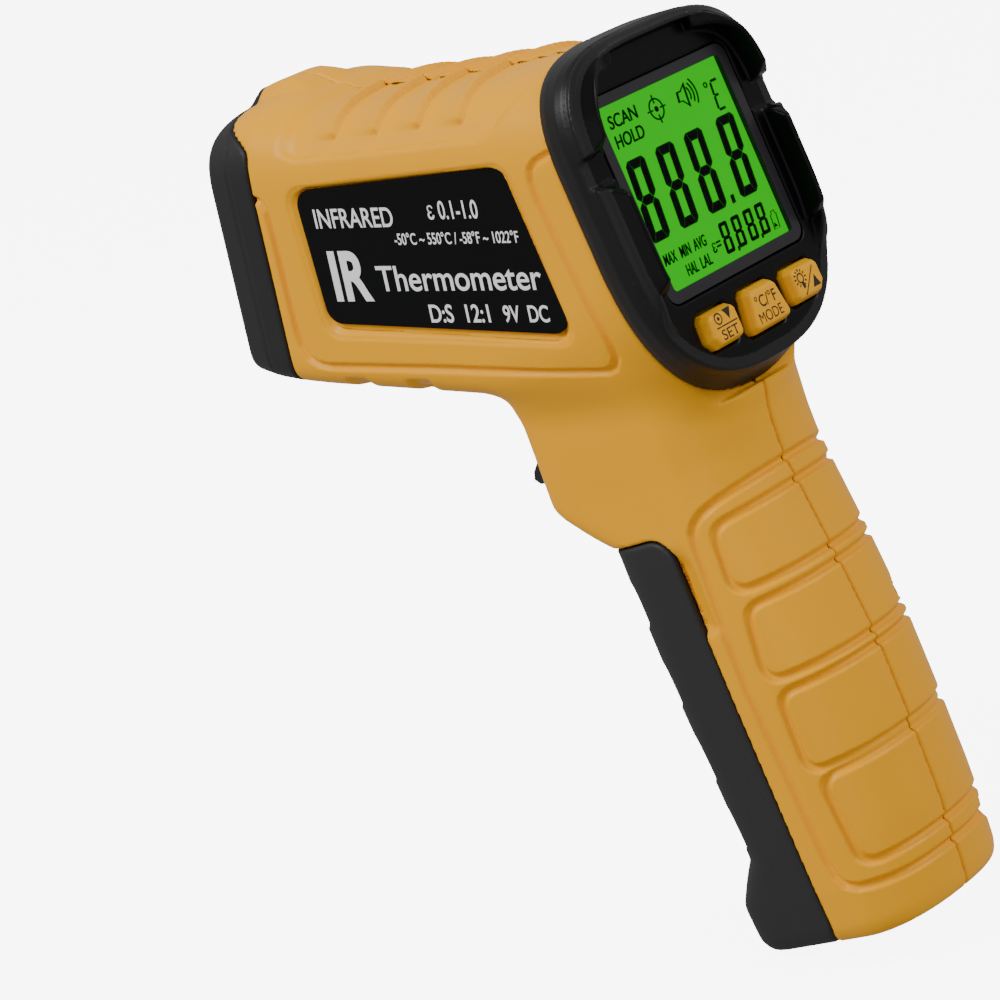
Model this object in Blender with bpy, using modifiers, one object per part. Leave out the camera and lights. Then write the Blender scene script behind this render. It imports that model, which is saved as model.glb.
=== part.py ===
"""Pistol-grip infrared thermometer.

Two moulded housing halves carry a nose cap with the infrared optics and the aiming
laser, a tilted display head with three keys, a finger trigger and a nine-volt battery
behind a door that swings down from the front of the grip.

World frame: the nose points to -X, the display to +X, the user's left hand side is -Y,
+Z is up. The origin is below the middle of the object, at the height of its lowest
edge. Lengths are in millimetres and are scaled to metres where a mesh is made.
"""
import math

import bmesh
import bpy
from mathutils import Matrix, Vector

MM = 0.001
GAP = 0.3                     # clearance between pieces that touch
WALL = 2.2                    # moulded wall thickness

# Barrel: outline of a vertical section at a distance along X
BARREL_STATIONS = (           # x, half width, top z, bottom z
    (-44.15, 21.1, 143.4, 96.4),
    (-38.0, 21.4, 142.6, 96.0),
    (-20.0, 21.6, 143.4, 95.2),
    (-3.0, 21.8, 145.0, 94.4),
)
BARREL_HIGH, BARREL_LOW = 129.0, 105.0        # heights where the corner curves start
BARREL_TOP_POWER, BARREL_BOTTOM_POWER = 3.2, 5.0

# Grip: its own frame leans back, local Z runs up the grip and local X to the rear
GRIP_FOOT = (39.395, 0.0, 3.856)
GRIP_LEAN = math.radians(15.0)
GRIP_STATIONS = (             # height, front x, back x, half width
    (0.0, -14.9, 16.0, 16.4),
    (2.0, -16.3, 16.7, 17.5),
    (8.5, -16.4, 17.4, 17.9),
    (16.0, -12.8, 18.1, 18.0),
    (30.0, -13.2, 18.7, 18.0),
    (43.0, -13.7, 18.9, 18.0),
    (56.0, -13.8, 17.9, 17.8),
    (70.0, -13.4, 16.4, 17.4),
    (74.0, -15.2, 15.9, 17.4),
    (79.0, -18.0, 16.2, 17.4),
    (88.0, -16.4, 17.5, 17.8),
    (96.0, -16.2, 16.5, 18.0),
    (104.0, -14.0, 12.0, 17.0),
)
GRIP_BACK, GRIP_FRONT = 6.0, -4.0             # local x where the corner curves start
GRIP_BACK_POWER, GRIP_FRONT_POWER = 2.3, 3.0

# Display head: local X is across, local Y up the face, local Z out of the face
DISPLAY_CENTRE = (29.65, 0.0, 125.7)
DISPLAY_TILT = math.radians(15.7)
RIM = dict(half=24.4, top=22.9, bottom=-30.6, high=5.0, low=-5.0, top_power=3.1, bottom_power=2.6)
SKIRT = dict(half=23.4, top=25.2, bottom=-33.2, high=5.0, low=-5.0, top_power=2.8, bottom_power=2.4)
RIM_LEVEL = 1.8               # level of the raised rim round the face
SKIRT_LEVEL = -6.5            # level where the bezel meets the housing
FACE_LEVEL = -0.2             # level of the flat face inside the rim
PLATE_BACK = -2.6             # level of the back of the face's wall
LIP = 0.6                     # the bezel stands this much proud of the housing
WING_LEVEL = 4.3              # level of the side wings' tops
WING_SPANS = {"upper": (8.6, 18.0), "lower": (-14.8, 4.2)}

# Nose cap
NOSE_FRONT = -55.0
NOSE_STATIONS = (             # x, half width, top z, bottom z
    (-55.0, 19.2, 140.6, 98.4),
    (-49.4, 20.7, 142.6, 97.0),
    (-44.45, 21.1, 143.4, 96.4),
)
OPTIC_Z = 115.0               # height of the lens axis
LASER_Z = 134.2               # height of the laser axis

# Battery door
DOOR_TOP = 70.0               # grip height of its upper edge
DOOR_EDGE = 1.4               # grip x of its side edges
DOOR_CORNER = 4.0
DOOR_PIVOT = (-8.5, 4.5)      # grip x and height of the hinge axis
DOOR_SWEEP = 9.9              # radius of its lower rear edge round the hinge

# Trigger
TRIGGER_PIVOT = (1.0, 90.0)   # x, z
TRIGGER_HALF = 6.0
PLUNGER_X, PLUNGER_Z = 6.35, 82.0
PIN_RADIUS, PIN_BORE = 1.0, 1.08

# Keys: name, outline as (across, up) corners
KEYS = (
    ("set", ((-13.9, -25.9), (-7.9, -25.9), (-7.2, -25.1), (-7.2, -20.9), (-8.0, -20.1),
             (-14.4, -20.1), (-15.3, -21.0), (-15.4, -24.3))),
    ("mode", ((-4.3, -26.8), (4.3, -26.8), (5.1, -25.9), (3.9, -20.6), (3.0, -19.8),
              (-3.0, -19.8), (-3.9, -20.6), (-5.1, -25.9))),
    ("light", ((7.9, -25.9), (13.9, -25.9), (15.4, -24.3), (15.3, -21.0), (14.4, -20.1),
               (8.0, -20.1), (7.2, -20.9), (7.2, -25.1))),
)
KEY_TOP = 1.5                 # level of the key caps; they press down 0.9 mm

SHELF_LEVELS = (13.2, 64.6)   # grip heights of the ribs that hold the battery

# Housing screws: name, frame, position across the parting plane
SCREWS = (
    ("front_top", "world", (-26.0, 136.2)),
    ("front_bottom", "world", (-38.4, 101.6)),
    ("rear_top", "world", (6.5, 140.0)),
    ("neck", "grip", (8.0, 81.0)),
    ("grip_upper", "grip", (13.2, 46.0)),
    ("grip_lower", "grip", (12.4, 8.6)),
)
BOSS_RADIUS, PILOT_RADIUS, CLEAR_RADIUS, HEAD_RADIUS = 3.0, 1.35, 1.6, 2.9
HEAD_DEPTH = 9.0              # |y| of the screw head's seat in the right half

# Axis matrices: an outline's (a, b) and its extrusion, for an extrusion along each axis
AXES = {
    "X": Matrix(((0, 0, 1, 0), (1, 0, 0, 0), (0, 1, 0, 0), (0, 0, 0, 1))),
    "Y": Matrix(((1, 0, 0, 0), (0, 0, 1, 0), (0, 1, 0, 0), (0, 0, 0, 1))),
    "Z": Matrix.Identity(4),
}

for old in list(bpy.data.objects):
    bpy.data.objects.remove(old)
PARTS = bpy.data.collections.new("infrared_thermometer")
TOOLS = bpy.data.collections.new("cutters")
bpy.context.scene.collection.children.link(PARTS)
bpy.context.scene.collection.children.link(TOOLS)


# ---------------------------------------------------------------- frames and materials
def make_frame(name, location, rotation=None, parent=None):
    """Empty that carries pieces; its local axes are a sub-assembly's own axes."""
    empty = bpy.data.objects.new(name, None)
    empty.empty_display_size = 0.01
    PARTS.objects.link(empty)
    turn = rotation.to_4x4() if rotation else Matrix.Identity(4)
    empty.parent = parent
    empty.matrix_local = Matrix.Translation(Vector(location) * MM) @ turn
    return empty


def columns(*axes):
    """Rotation matrix from its three column vectors."""
    return Matrix(axes).transposed()


GRIP = make_frame("grip_frame", GRIP_FOOT, columns(
    (math.cos(GRIP_LEAN), 0, math.sin(GRIP_LEAN)), (0, 1, 0),
    (-math.sin(GRIP_LEAN), 0, math.cos(GRIP_LEAN))))
DISPLAY_TURN = columns(
    (0, 1, 0), (-math.sin(DISPLAY_TILT), 0, math.cos(DISPLAY_TILT)),
    (math.cos(DISPLAY_TILT), 0, math.sin(DISPLAY_TILT)))
DISPLAY = make_frame("display_frame", DISPLAY_CENTRE, DISPLAY_TURN)
TRIGGER = make_frame("trigger_pivot", (TRIGGER_PIVOT[0], 0, TRIGGER_PIVOT[1]))
DOOR = make_frame("door_pivot", (DOOR_PIVOT[0], 0, DOOR_PIVOT[1]), parent=GRIP)
PLUNGER = make_frame("plunger_axis", (PLUNGER_X, 0, PLUNGER_Z))


def material(name, colour, roughness=0.5, metallic=0.0, alpha=1.0):
    """Principled material in the piece's own colour."""
    made = bpy.data.materials.new(name)
    made.use_nodes = True
    shader = made.node_tree.nodes["Principled BSDF"]
    shader.inputs["Base Color"].default_value = (*colour, 1.0)
    shader.inputs["Roughness"].default_value = roughness
    shader.inputs["Metallic"].default_value = metallic
    shader.inputs["Alpha"].default_value = alpha
    return made


# ---------------------------------------------------------------- solid builders
def place(name, mesh, frame, tool):
    """Object for a mesh, in the parts or the cutters collection."""
    made = bpy.data.objects.new(name, mesh)
    made.parent = frame
    if tool:
        TOOLS.objects.link(made)
        made.hide_render = True
        made.display_type = "WIRE"
    else:
        PARTS.objects.link(made)
    return made


def bmesh_to_mesh(name, work, matrix=None):
    """Mesh from a bmesh, moved by a matrix, with outward faces."""
    mesh = bpy.data.meshes.new(name)
    if matrix is not None:
        bmesh.ops.transform(work, matrix=matrix, verts=work.verts)
    bmesh.ops.recalc_face_normals(work, faces=work.faces)
    work.to_mesh(mesh)
    work.free()
    return mesh


def box(name, low, high, frame=None, tool=False):
    """Block between two corners."""
    size = [(b - a) * MM for a, b in zip(low, high)]
    middle = [(a + b) / 2 * MM for a, b in zip(low, high)]
    work = bmesh.new()
    bmesh.ops.create_cube(work, size=1.0)
    matrix = Matrix.Translation(middle) @ Matrix.Diagonal((*size, 1.0))
    return place(name, bmesh_to_mesh(name, work, matrix), frame, tool)


def rod(name, radius, centre, length, axis, frame=None, tool=False, sides=20, tip=None):
    """Cylinder, or a cone frustum with a tip radius, along an axis through its centre."""
    work = bmesh.new()
    bmesh.ops.create_cone(work, cap_ends=True, segments=sides, radius1=radius * MM,
                          radius2=(radius if tip is None else tip) * MM, depth=length * MM)
    matrix = Matrix.Translation(Vector(centre) * MM) @ AXES[axis]
    return place(name, bmesh_to_mesh(name, work, matrix), frame, tool)


def plate(name, outline, low, high, axis="Z", frame=None, tool=False):
    """Flat piece: a closed outline extruded between two levels along an axis."""
    curve = bpy.data.curves.new(name, "CURVE")
    curve.dimensions = "2D"
    curve.fill_mode = "BOTH"
    curve.extrude = (high - low) / 2 * MM
    spline = curve.splines.new("POLY")
    spline.points.add(len(outline) - 1)
    for point, (a, b) in zip(spline.points, outline):
        point.co = (a * MM, b * MM, 0.0, 1.0)
    spline.use_cyclic_u = True
    matrix = AXES[axis] @ Matrix.Translation((0, 0, (low + high) / 2 * MM))
    return place(name, mesh_from_curve(name, curve, matrix), frame, tool)


def mesh_from_curve(name, curve, matrix=None):
    """Closed mesh of a curve object, its caps welded to its sides."""
    guide = bpy.data.objects.new(name, curve)
    bpy.context.scene.collection.objects.link(guide)
    graph = bpy.context.evaluated_depsgraph_get()
    rough = bpy.data.meshes.new_from_object(guide.evaluated_get(graph))
    bpy.data.objects.remove(guide)
    work = bmesh.new()
    work.from_mesh(rough)
    bpy.data.meshes.remove(rough)
    bmesh.ops.remove_doubles(work, verts=work.verts, dist=1e-6)
    return bmesh_to_mesh(name, work, matrix)


def wire(name, points, radius, frame=None, tool=False):
    """Round wire along a polyline."""
    curve = bpy.data.curves.new(name, "CURVE")
    curve.dimensions = "3D"
    curve.bevel_depth = radius * MM
    curve.bevel_resolution = 2
    curve.use_fill_caps = True
    spline = curve.splines.new("POLY")
    spline.points.add(len(points) - 1)
    for point, place_mm in zip(spline.points, points):
        point.co = (*(Vector(place_mm) * MM), 1.0)
    return place(name, mesh_from_curve(name, curve), frame, tool)


def turned(name, profile, centre, axis, frame=None, tool=False, steps=24):
    """Turned piece: a closed (radius, height) profile swept round an axis."""
    work = bmesh.new()
    corners = [work.verts.new((r * MM, 0, h * MM)) for r, h in profile]
    on_axis = profile[0][0] == 0 and profile[-1][0] == 0
    for first, second in zip(corners, corners[1:] + ([] if on_axis else corners[:1])):
        work.edges.new((first, second))
    mesh = bpy.data.meshes.new(name)
    work.to_mesh(mesh)
    work.free()
    made = place(name, mesh, frame, tool)
    made.matrix_local = Matrix.Translation(Vector(centre) * MM) @ AXES[axis]
    sweep = made.modifiers.new("sweep", "SCREW")
    sweep.axis = "Z"
    sweep.steps = steps
    sweep.render_steps = steps
    sweep.use_merge_vertices = True
    sweep.merge_threshold = 1e-6
    sweep.use_smooth_shade = True
    return made


def loft(name, rings, frame=None, tool=False):
    """Closed skin through rings of equal point count, capped at both ends."""
    work = bmesh.new()
    rows = [[work.verts.new(Vector(p) * MM) for p in ring] for ring in rings]
    count = len(rings[0])
    for lower, upper in zip(rows, rows[1:]):
        for i in range(count):
            j = (i + 1) % count
            work.faces.new((lower[i], lower[j], upper[j], upper[i]))
    work.faces.new(rows[0])
    work.faces.new(rows[-1])
    return place(name, bmesh_to_mesh(name, work), frame, tool)


def combine(target, operation, *others):
    """Boolean modifiers on a piece, one for each other solid."""
    for other in others:
        step = target.modifiers.new(operation.lower(), "BOOLEAN")
        step.operation = operation
        step.solver = "EXACT"
        step.object = other
    return target


def cut(target, *others):
    return combine(target, "DIFFERENCE", *others)


def join(target, *others):
    return combine(target, "UNION", *others)


def keep(target, *others):
    return combine(target, "INTERSECT", *others)


def finish(target, made_of):
    """Last step on a sub-part: its material and smooth round faces."""
    target.data.materials.clear()
    target.data.materials.append(made_of)
    target.data.shade_smooth()
    target.data.set_sharp_from_angle(angle=math.radians(35))
    return target


# ---------------------------------------------------------------- outlines
def quadrant(half, reach, power, steps):
    """Superellipse quarter from the side (angle 0) to the end (angle 90)."""
    for i in range(steps + 1):
        angle = math.pi / 2 * i / steps
        yield (half * math.cos(angle) ** (2 / power), reach * math.sin(angle) ** (2 / power))


def oval(half, top, bottom, high, low, top_power, bottom_power, steps=6):
    """Closed outline with superellipse corners, symmetric across, from bottom centre."""
    right = [(a, low - b) for a, b in quadrant(half, low - bottom, bottom_power, steps)][::-1]
    right += [(a, high + b) for a, b in quadrant(half, top - high, top_power, steps)]
    right[0] = (0.0, bottom)
    right[-1] = (0.0, top)
    return right + [(-a, b) for a, b in right[-2:0:-1]]


def arc(centre, radius, start, end, steps):
    """Points along a circle arc; angles in degrees."""
    for i in range(steps + 1):
        angle = math.radians(start + (end - start) * i / steps)
        yield (centre[0] + radius * math.cos(angle), centre[1] + radius * math.sin(angle))


def grown(outline, distance):
    """Outline moved outwards by a distance, each corner along its bisector."""
    moved = []
    count = len(outline)
    area = sum(outline[i][0] * outline[(i + 1) % count][1]
               - outline[(i + 1) % count][0] * outline[i][1] for i in range(count))
    side = 1.0 if area > 0 else -1.0
    for i in range(count):
        before, here, after = (Vector(outline[j % count]) for j in (i - 1, i, i + 1))
        first = (here - before).normalized()
        second = (after - here).normalized()
        normal = Vector((first.y + second.y, -first.x - second.x)).normalized() * side
        reach = distance / max(0.5, normal.dot(Vector((first.y, -first.x)) * side))
        moved.append(tuple(here + normal * reach))
    return moved


def barrel_rings(inset, stations, start=None, end=None):
    """Rings of the barrel or nose outline, inset from the outside."""
    rings = []
    for index, (x, half, top, bottom) in enumerate(stations):
        if index == 0 and start is not None:
            x = start
        if index == len(stations) - 1 and end is not None:
            x = end
        ring = oval(half - inset, top - inset, bottom + inset, BARREL_HIGH, BARREL_LOW,
                    BARREL_TOP_POWER, BARREL_BOTTOM_POWER)
        rings.append([(x, y, z) for y, z in ring])
    return rings


def grip_rings(inset, lowest):
    """Rings of the grip outline, in the grip frame."""
    rings = []
    for height, front, back, half in GRIP_STATIONS:
        ring = oval(half - inset, back - inset, front + inset, GRIP_BACK, GRIP_FRONT,
                    GRIP_BACK_POWER, GRIP_FRONT_POWER)
        rings.append([(x, y, max(height, lowest)) for y, x in ring])
    if lowest > 0:
        rings = [ring for ring in rings if ring[0][2] > lowest]
        first = [(x, y, lowest) for x, y, _ in rings[0]]
        rings.insert(0, first)
    return rings


def door_zone(offset):
    """Side outline of the door in grip (x, height), moved outwards by an offset."""
    edge, top = DOOR_EDGE + offset, DOOR_TOP + offset
    corner = arc((edge - DOOR_CORNER, top - DOOR_CORNER), DOOR_CORNER, 90, 0, 4)
    sweep = arc(DOOR_PIVOT, DOOR_SWEEP + offset, 0, -36, 5)
    return [(-30.0, top), *corner, *sweep, (-1.0, -8.0), (-30.0, -8.0)]


# ---------------------------------------------------------------- housing halves
def face_outline(shape, shrink=0.0):
    """Rim or skirt outline, shrunk all round."""
    values = dict(shape)
    values["half"] -= shrink
    values["top"] -= shrink
    values["bottom"] += shrink
    return oval(**values)


def body_rings(inset, start=None):
    """Rings of the barrel from the nose joint to past the display joint, in the world."""
    rings = barrel_rings(inset, BARREL_STATIONS, start)
    outline = face_outline(SKIRT, LIP + inset)
    level = SKIRT_LEVEL + 1.5
    rings.append([Vector(DISPLAY_CENTRE) + DISPLAY_TURN @ Vector((u, v, level)) for u, v in outline])
    return rings


def housing_half(name, side):
    """One moulded half: side is -1 on the left (-Y) and +1 on the right."""
    half = loft(name, body_rings(0))
    tag = name + "_"
    join(half, loft(tag + "grip", grip_rings(0, 0), GRIP, tool=True))
    hollow = loft(tag + "hollow", body_rings(WALL, start=-48), tool=True)
    join(hollow, loft(tag + "grip_hollow", grip_rings(WALL, WALL), GRIP, tool=True))
    cut(hollow, *[housing_boss(tag, side, *screw) for screw in SCREWS],
        *[battery_shelf(tag, side, level) for level in SHELF_LEVELS],
        door_lug(tag, side), trigger_boss(tag, side))
    cut(half, hollow)

    across = 40.0
    cut(half, box(tag + "display_zone", (-across, -34.5, SKIRT_LEVEL), (across, 60.0, 40.0),
                  DISPLAY, tool=True))
    cut(half, plate(tag + "door_zone", door_zone(GAP), -30.0, 30.0, "Y", GRIP, tool=True))
    join(half, lug_arm(tag, side))
    cut(half, rod(tag + "lug_bore", PIN_BORE, (DOOR_PIVOT[0], side * 12.4, DOOR_PIVOT[1]), 5.0,
                  "Y", GRIP, tool=True, sides=16))
    cut(half, rod(tag + "pin_bore", PIN_BORE, (TRIGGER_PIVOT[0], side * 8.5, TRIGGER_PIVOT[1]),
                  5.0, "Y", tool=True, sides=16))
    slot = TRIGGER_HALF + 0.35
    cut(half, box(tag + "trigger_slot", (-30.0, -slot, 75.2), (4.6, slot, 93.9), tool=True))
    low, high = sorted((side * LABEL_FLOOR, side * 30))
    cut(half, plate(tag + "label_recess", grown(LABEL_OUTLINE, GAP), low, high, "Y", tool=True))
    bore_screws(half, tag, side)
    low, high = sorted((side * GAP / 2, side * 60))
    keep(half, box(tag + "side", (-80.0, low, -40.0), (90.0, high, 200.0), tool=True))
    return finish(half, material(name, (0.75, 0.42, 0.05), 0.42))


def housing_boss(tag, side, screw, frame_name, centre):
    """Screw post from the parting plane to the side wall."""
    low, high = sorted((side * GAP / 2, side * 30))
    frame = GRIP if frame_name == "grip" else None
    return rod(tag + screw + "_boss", BOSS_RADIUS, (centre[0], (low + high) / 2, centre[1]),
               high - low, "Y", frame, tool=True, sides=12)


def battery_shelf(tag, side, level):
    """Rib across the back of the bay that holds one end of the battery."""
    low, high = sorted((side * 3, side * 11))
    return box(tag + "battery_shelf_%d" % level, (8.8, low, level - 1.0), (19.0, high, level + 1.0),
               GRIP, tool=True)


def bore_screws(half, tag, side):
    """Blind pilot holes on the left, through holes with head pockets on the right."""
    for screw, frame_name, (a, b) in SCREWS:
        frame = GRIP if frame_name == "grip" else None
        if side < 0:
            cut(half, rod(tag + screw + "_pilot", PILOT_RADIUS, (a, -4.0, b), 9.0, "Y", frame,
                          tool=True, sides=12))
        else:
            cut(half, rod(tag + screw + "_hole", CLEAR_RADIUS, (a, 5.0, b), 12.0, "Y", frame,
                          tool=True, sides=12),
                rod(tag + screw + "_pocket", HEAD_RADIUS - 0.2, (a, HEAD_DEPTH + 10.0, b), 20.0,
                    "Y", frame, tool=True, sides=12))


def trigger_boss(tag, side):
    """Socket that holds one end of the trigger's pin."""
    return rod(tag + "trigger_boss", 2.9, (TRIGGER_PIVOT[0], side * 17.1, TRIGGER_PIVOT[1]), 20.0,
               "Y", tool=True, sides=12)


def door_lug(tag, side):
    """Root of the hinge arm, on the grip's floor behind the door."""
    low, high = sorted((side * 12.1, side * 14.4))
    return box(tag + "lug_root", (2.3, low, 1.0), (6.5, high, 6.6), GRIP, tool=True)


def lug_arm(tag, side):
    """Hinge arm that reaches forwards into the door, with a round end on the axis."""
    x, height = DOOR_PIVOT
    outline = [(3.0, height + 1.9), *arc((x, height), 1.9, 90, 270, 8), (3.0, height - 1.9)]
    low, high = sorted((side * 12.2, side * 14.3))
    return plate(tag + "lug_arm", outline, low, high, "Y", GRIP, tool=True)


# Side labels: a sheared rectangle with rounded corners, in (x, z)
LABEL_CORNERS = ((-33.3, 107.6), (16.6, 105.6), (8.8, 133.2), (-34.9, 130.4))
LABEL_RADIUS = 3.0
LABEL_FLOOR = 20.4            # |y| of the recess floor
LABEL_BACK, LABEL_FACE = 20.6, 21.2


def rounded(corners, radius, steps=3):
    """Polygon with each corner replaced by an arc that touches both edges."""
    points = []
    count = len(corners)
    for i in range(count):
        before, here, after = (Vector(corners[j % count]) for j in (i - 1, i, i + 1))
        first = (before - here).normalized()
        second = (after - here).normalized()
        half_angle = first.angle(second) / 2
        centre = here + (first + second).normalized() * radius / math.sin(half_angle)
        start = here + first * radius / math.tan(half_angle) - centre
        end = here + second * radius / math.tan(half_angle) - centre
        turn = start.angle_signed(end)
        for k in range(steps + 1):
            angle = -turn * k / steps
            points.append((centre.x + start.x * math.cos(angle) - start.y * math.sin(angle),
                           centre.y + start.x * math.sin(angle) + start.y * math.cos(angle)))
    return points


LABEL_OUTLINE = rounded(LABEL_CORNERS, LABEL_RADIUS)

left = housing_half("left_housing", -1)
right = housing_half("right_housing", 1)

BLACK_GLOSS = dict(colour=(0.012, 0.012, 0.013), roughness=0.25)
DARK_PLASTIC = dict(colour=(0.035, 0.035, 0.037), roughness=0.5)
for side, name in ((-1, "left_label"), (1, "right_label")):
    low, high = sorted((side * LABEL_BACK, side * LABEL_FACE))
    finish(plate(name, LABEL_OUTLINE, low, high, "Y"), material(name, **BLACK_GLOSS))

for screw, frame_name, (a, b) in SCREWS:
    frame = GRIP if frame_name == "grip" else None
    name = "screw_" + screw
    body = rod(name, 2.4, (a, HEAD_DEPTH + GAP + 0.8, b), 1.6, "Y", frame, sides=12)
    join(body, rod(name + "_shank", 1.05, (a, (HEAD_DEPTH + 1 - 6.5) / 2, b), HEAD_DEPTH + 7.5, "Y",
                   frame, tool=True, sides=10))
    cut(body, box(name + "_slot", (a - 1.4, HEAD_DEPTH + 1.1, b - 0.3),
                  (a + 1.4, HEAD_DEPTH + 3.0, b + 0.3), frame, tool=True),
        box(name + "_slot_2", (a - 0.3, HEAD_DEPTH + 1.1, b - 1.4),
            (a + 0.3, HEAD_DEPTH + 3.0, b + 1.4), frame, tool=True))
    finish(body, material(name, (0.5, 0.5, 0.52), 0.35, 1.0))


# ---------------------------------------------------------------- nose and optics
def nose_cap():
    cap = loft("nose_cap", barrel_rings(0, NOSE_STATIONS))
    cut(cap, loft("nose_hollow", barrel_rings(WALL, NOSE_STATIONS, start=-52.5, end=-40), tool=True),
        rod("nose_optic_hole", 11.6, (-54, 0, OPTIC_Z), 8, "X", tool=True, sides=24),
        rod("nose_laser_hole", 3.3, (-54, 0, LASER_Z), 8, "X", tool=True, sides=16))
    return finish(cap, material("nose_cap", **DARK_PLASTIC))


nose_cap()

# Heights in these profiles run along X from the nose front
shroud = [(5.9, 25.2), (5.9, 18.6), (11.3, 2.9), (11.3, 0.4), (10.2, 0.4), (4.95, 17.6), (4.95, 25.2)]
finish(turned("lens_shroud", shroud, (NOSE_FRONT, 0, OPTIC_Z), "X"), material("lens_shroud", **DARK_PLASTIC))
lens = [(0, 20.2), (4.6, 20.0), (4.6, 19.0), (0, 18.5)]
finish(turned("ir_lens", lens, (NOSE_FRONT, 0, OPTIC_Z), "X", steps=20),
       material("ir_lens", (0.16, 0.14, 0.15), 0.12, 0.4))
ring = [(4.65, 21.6), (4.65, 20.5), (3.5, 20.5), (3.5, 21.6)]
finish(turned("lens_retaining_ring", ring, (NOSE_FRONT, 0, OPTIC_Z), "X", steps=20),
       material("lens_retaining_ring", (0.5, 0.5, 0.52), 0.35, 1.0))
sensor = rod("thermopile_sensor", 4.05, (NOSE_FRONT + 24.2, 0, OPTIC_Z), 3.0, "X", sides=20)
join(sensor, rod("sensor_flange", 4.6, (NOSE_FRONT + 25.9, 0, OPTIC_Z), 0.6, "X", tool=True, sides=20))
finish(sensor, material("thermopile_sensor", (0.6, 0.6, 0.62), 0.3, 1.0))
finish(box("sensor_board", (-28.4, -8.5, OPTIC_Z - 8.5), (-27.2, 8.5, OPTIC_Z + 8.5)),
       material("sensor_board", (0.02, 0.14, 0.06), 0.45))
finish(rod("laser_window", 3.0, (NOSE_FRONT + 0.9, 0, LASER_Z), 0.9, "X", sides=16),
       material("laser_window", (0.2, 0.05, 0.05), 0.1))
laser = rod("laser_module", 3.25, (NOSE_FRONT + 12.0, 0, LASER_Z), 18.0, "X", sides=20)
cut(laser, rod("laser_pocket", 2.7, (NOSE_FRONT + 3.0, 0, LASER_Z), 4.0, "X", tool=True, sides=20),
    rod("laser_aperture", 1.2, (NOSE_FRONT + 5.0, 0, LASER_Z), 6.0, "X", tool=True, sides=12))
finish(laser, material("laser_module", (0.62, 0.43, 0.16), 0.3, 1.0))
finish(rod("laser_optic", 2.4, (NOSE_FRONT + 4.1, 0, LASER_Z), 0.8, "X", sides=16),
       material("laser_optic", (0.7, 0.72, 0.75), 0.1))

# ---------------------------------------------------------------- electronics
board_outline = [(-24, 131), (8.0, 131), (12.0, 118), (14.6, 104), (14.6, 80), (7.6, 80),
                 (7.6, 100), (-24, 100)]
finish(plate("main_board", board_outline, 4.4, 6.0, "Y"), material("main_board", (0.02, 0.14, 0.06), 0.45))
finish(rod("buzzer", 6.0, (-4.0, 8.4, 112.0), 4.2, "Y", sides=24), material("buzzer", **BLACK_GLOSS))
finish(box("processor", (-12.0, 2.6, 113.0), (0.0, 4.1, 125.0)), material("processor", **BLACK_GLOSS))

switch = box("trigger_switch", (6.6, -2.6, PLUNGER_Z - 3.0), (12.4, 4.1, PLUNGER_Z + 3.0))
cut(switch, rod("plunger_bore", 1.6, (8.0, 0, PLUNGER_Z), 6.0, "X", tool=True, sides=16))
finish(switch, material("trigger_switch", **BLACK_GLOSS))
finish(rod("trigger_plunger", 1.3, (0, 0, 0), 5.0, "X", PLUNGER, sides=16),
       material("trigger_plunger", (0.6, 0.6, 0.58), 0.5))


# ---------------------------------------------------------------- display head
def wing_rings(side, low, high):
    """Rings of one side wing: it leans in from the rim to a narrow, shorter top."""
    rings = []
    for level, outer, inner, cut_back in ((-0.8, 23.4, 20.6, 0.0), (RIM_LEVEL, 23.7, 21.0, 0.8),
                                          (WING_LEVEL, 22.4, 21.2, 2.6)):
        bottom, top = low + cut_back, high - cut_back
        tuck = 2.2 if high > 10 else 0.0
        rings.append([(side * u, v, level) for u, v in (
            (outer, bottom), (outer, top - 3.0), (outer - tuck, top), (inner - tuck, top),
            (inner, top - 3.0), (inner, bottom))])
    return rings


def rear_bezel():
    """Bezel: skirt, raised rim, flat face with window and key openings, side wings."""
    levels = ((SKIRT, SKIRT_LEVEL + GAP, 0.0), (RIM, -2.0, -0.3), (RIM, 0.6, 0.0), (RIM, RIM_LEVEL, 1.2))
    rings = [[(u, v, n) for u, v in face_outline(shape, shrink)] for shape, n, shrink in levels]
    bezel = loft("rear_bezel", rings, DISPLAY)
    basin = [[(u, v, n) for u, v in face_outline(RIM, shrink)] for n, shrink in ((FACE_LEVEL, 2.6), (4.0, 1.6))]
    cut(bezel, loft("bezel_basin", basin, DISPLAY, tool=True))
    for side in (-1, 1):
        for tag, (low, high) in WING_SPANS.items():
            join(bezel, loft("bezel_wing_%s_%d" % (tag, side), wing_rings(side, low, high), DISPLAY, tool=True))
    pocket = [[(u, v, n) for u, v in face_outline(shape, shrink)]
              for shape, n, shrink in ((SKIRT, -12.0, WALL), (SKIRT, -6.0, WALL), (RIM, PLATE_BACK, 1.8))]
    opening = rounded(((-16.3, -15.6), (16.3, -15.6), (16.3, 15.9), (-16.3, 15.9)), 0.5)
    rebate = rounded(((-18.3, -16.9), (18.3, -16.9), (18.3, 16.9), (-18.3, 16.9)), 2.4)
    cut(bezel, loft("bezel_pocket", pocket, DISPLAY, tool=True),
        plate("window_opening", opening, -6.0, 3.0, "Z", DISPLAY, tool=True),
        plate("window_rebate", rebate, -1.15, 6.0, "Z", DISPLAY, tool=True))
    for key, outline in KEYS:
        cut(bezel, plate(key + "_opening", grown(outline, 0.35), -6.0, 3.0, "Z", DISPLAY, tool=True))
    return finish(bezel, material("rear_bezel", **BLACK_GLOSS))


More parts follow.
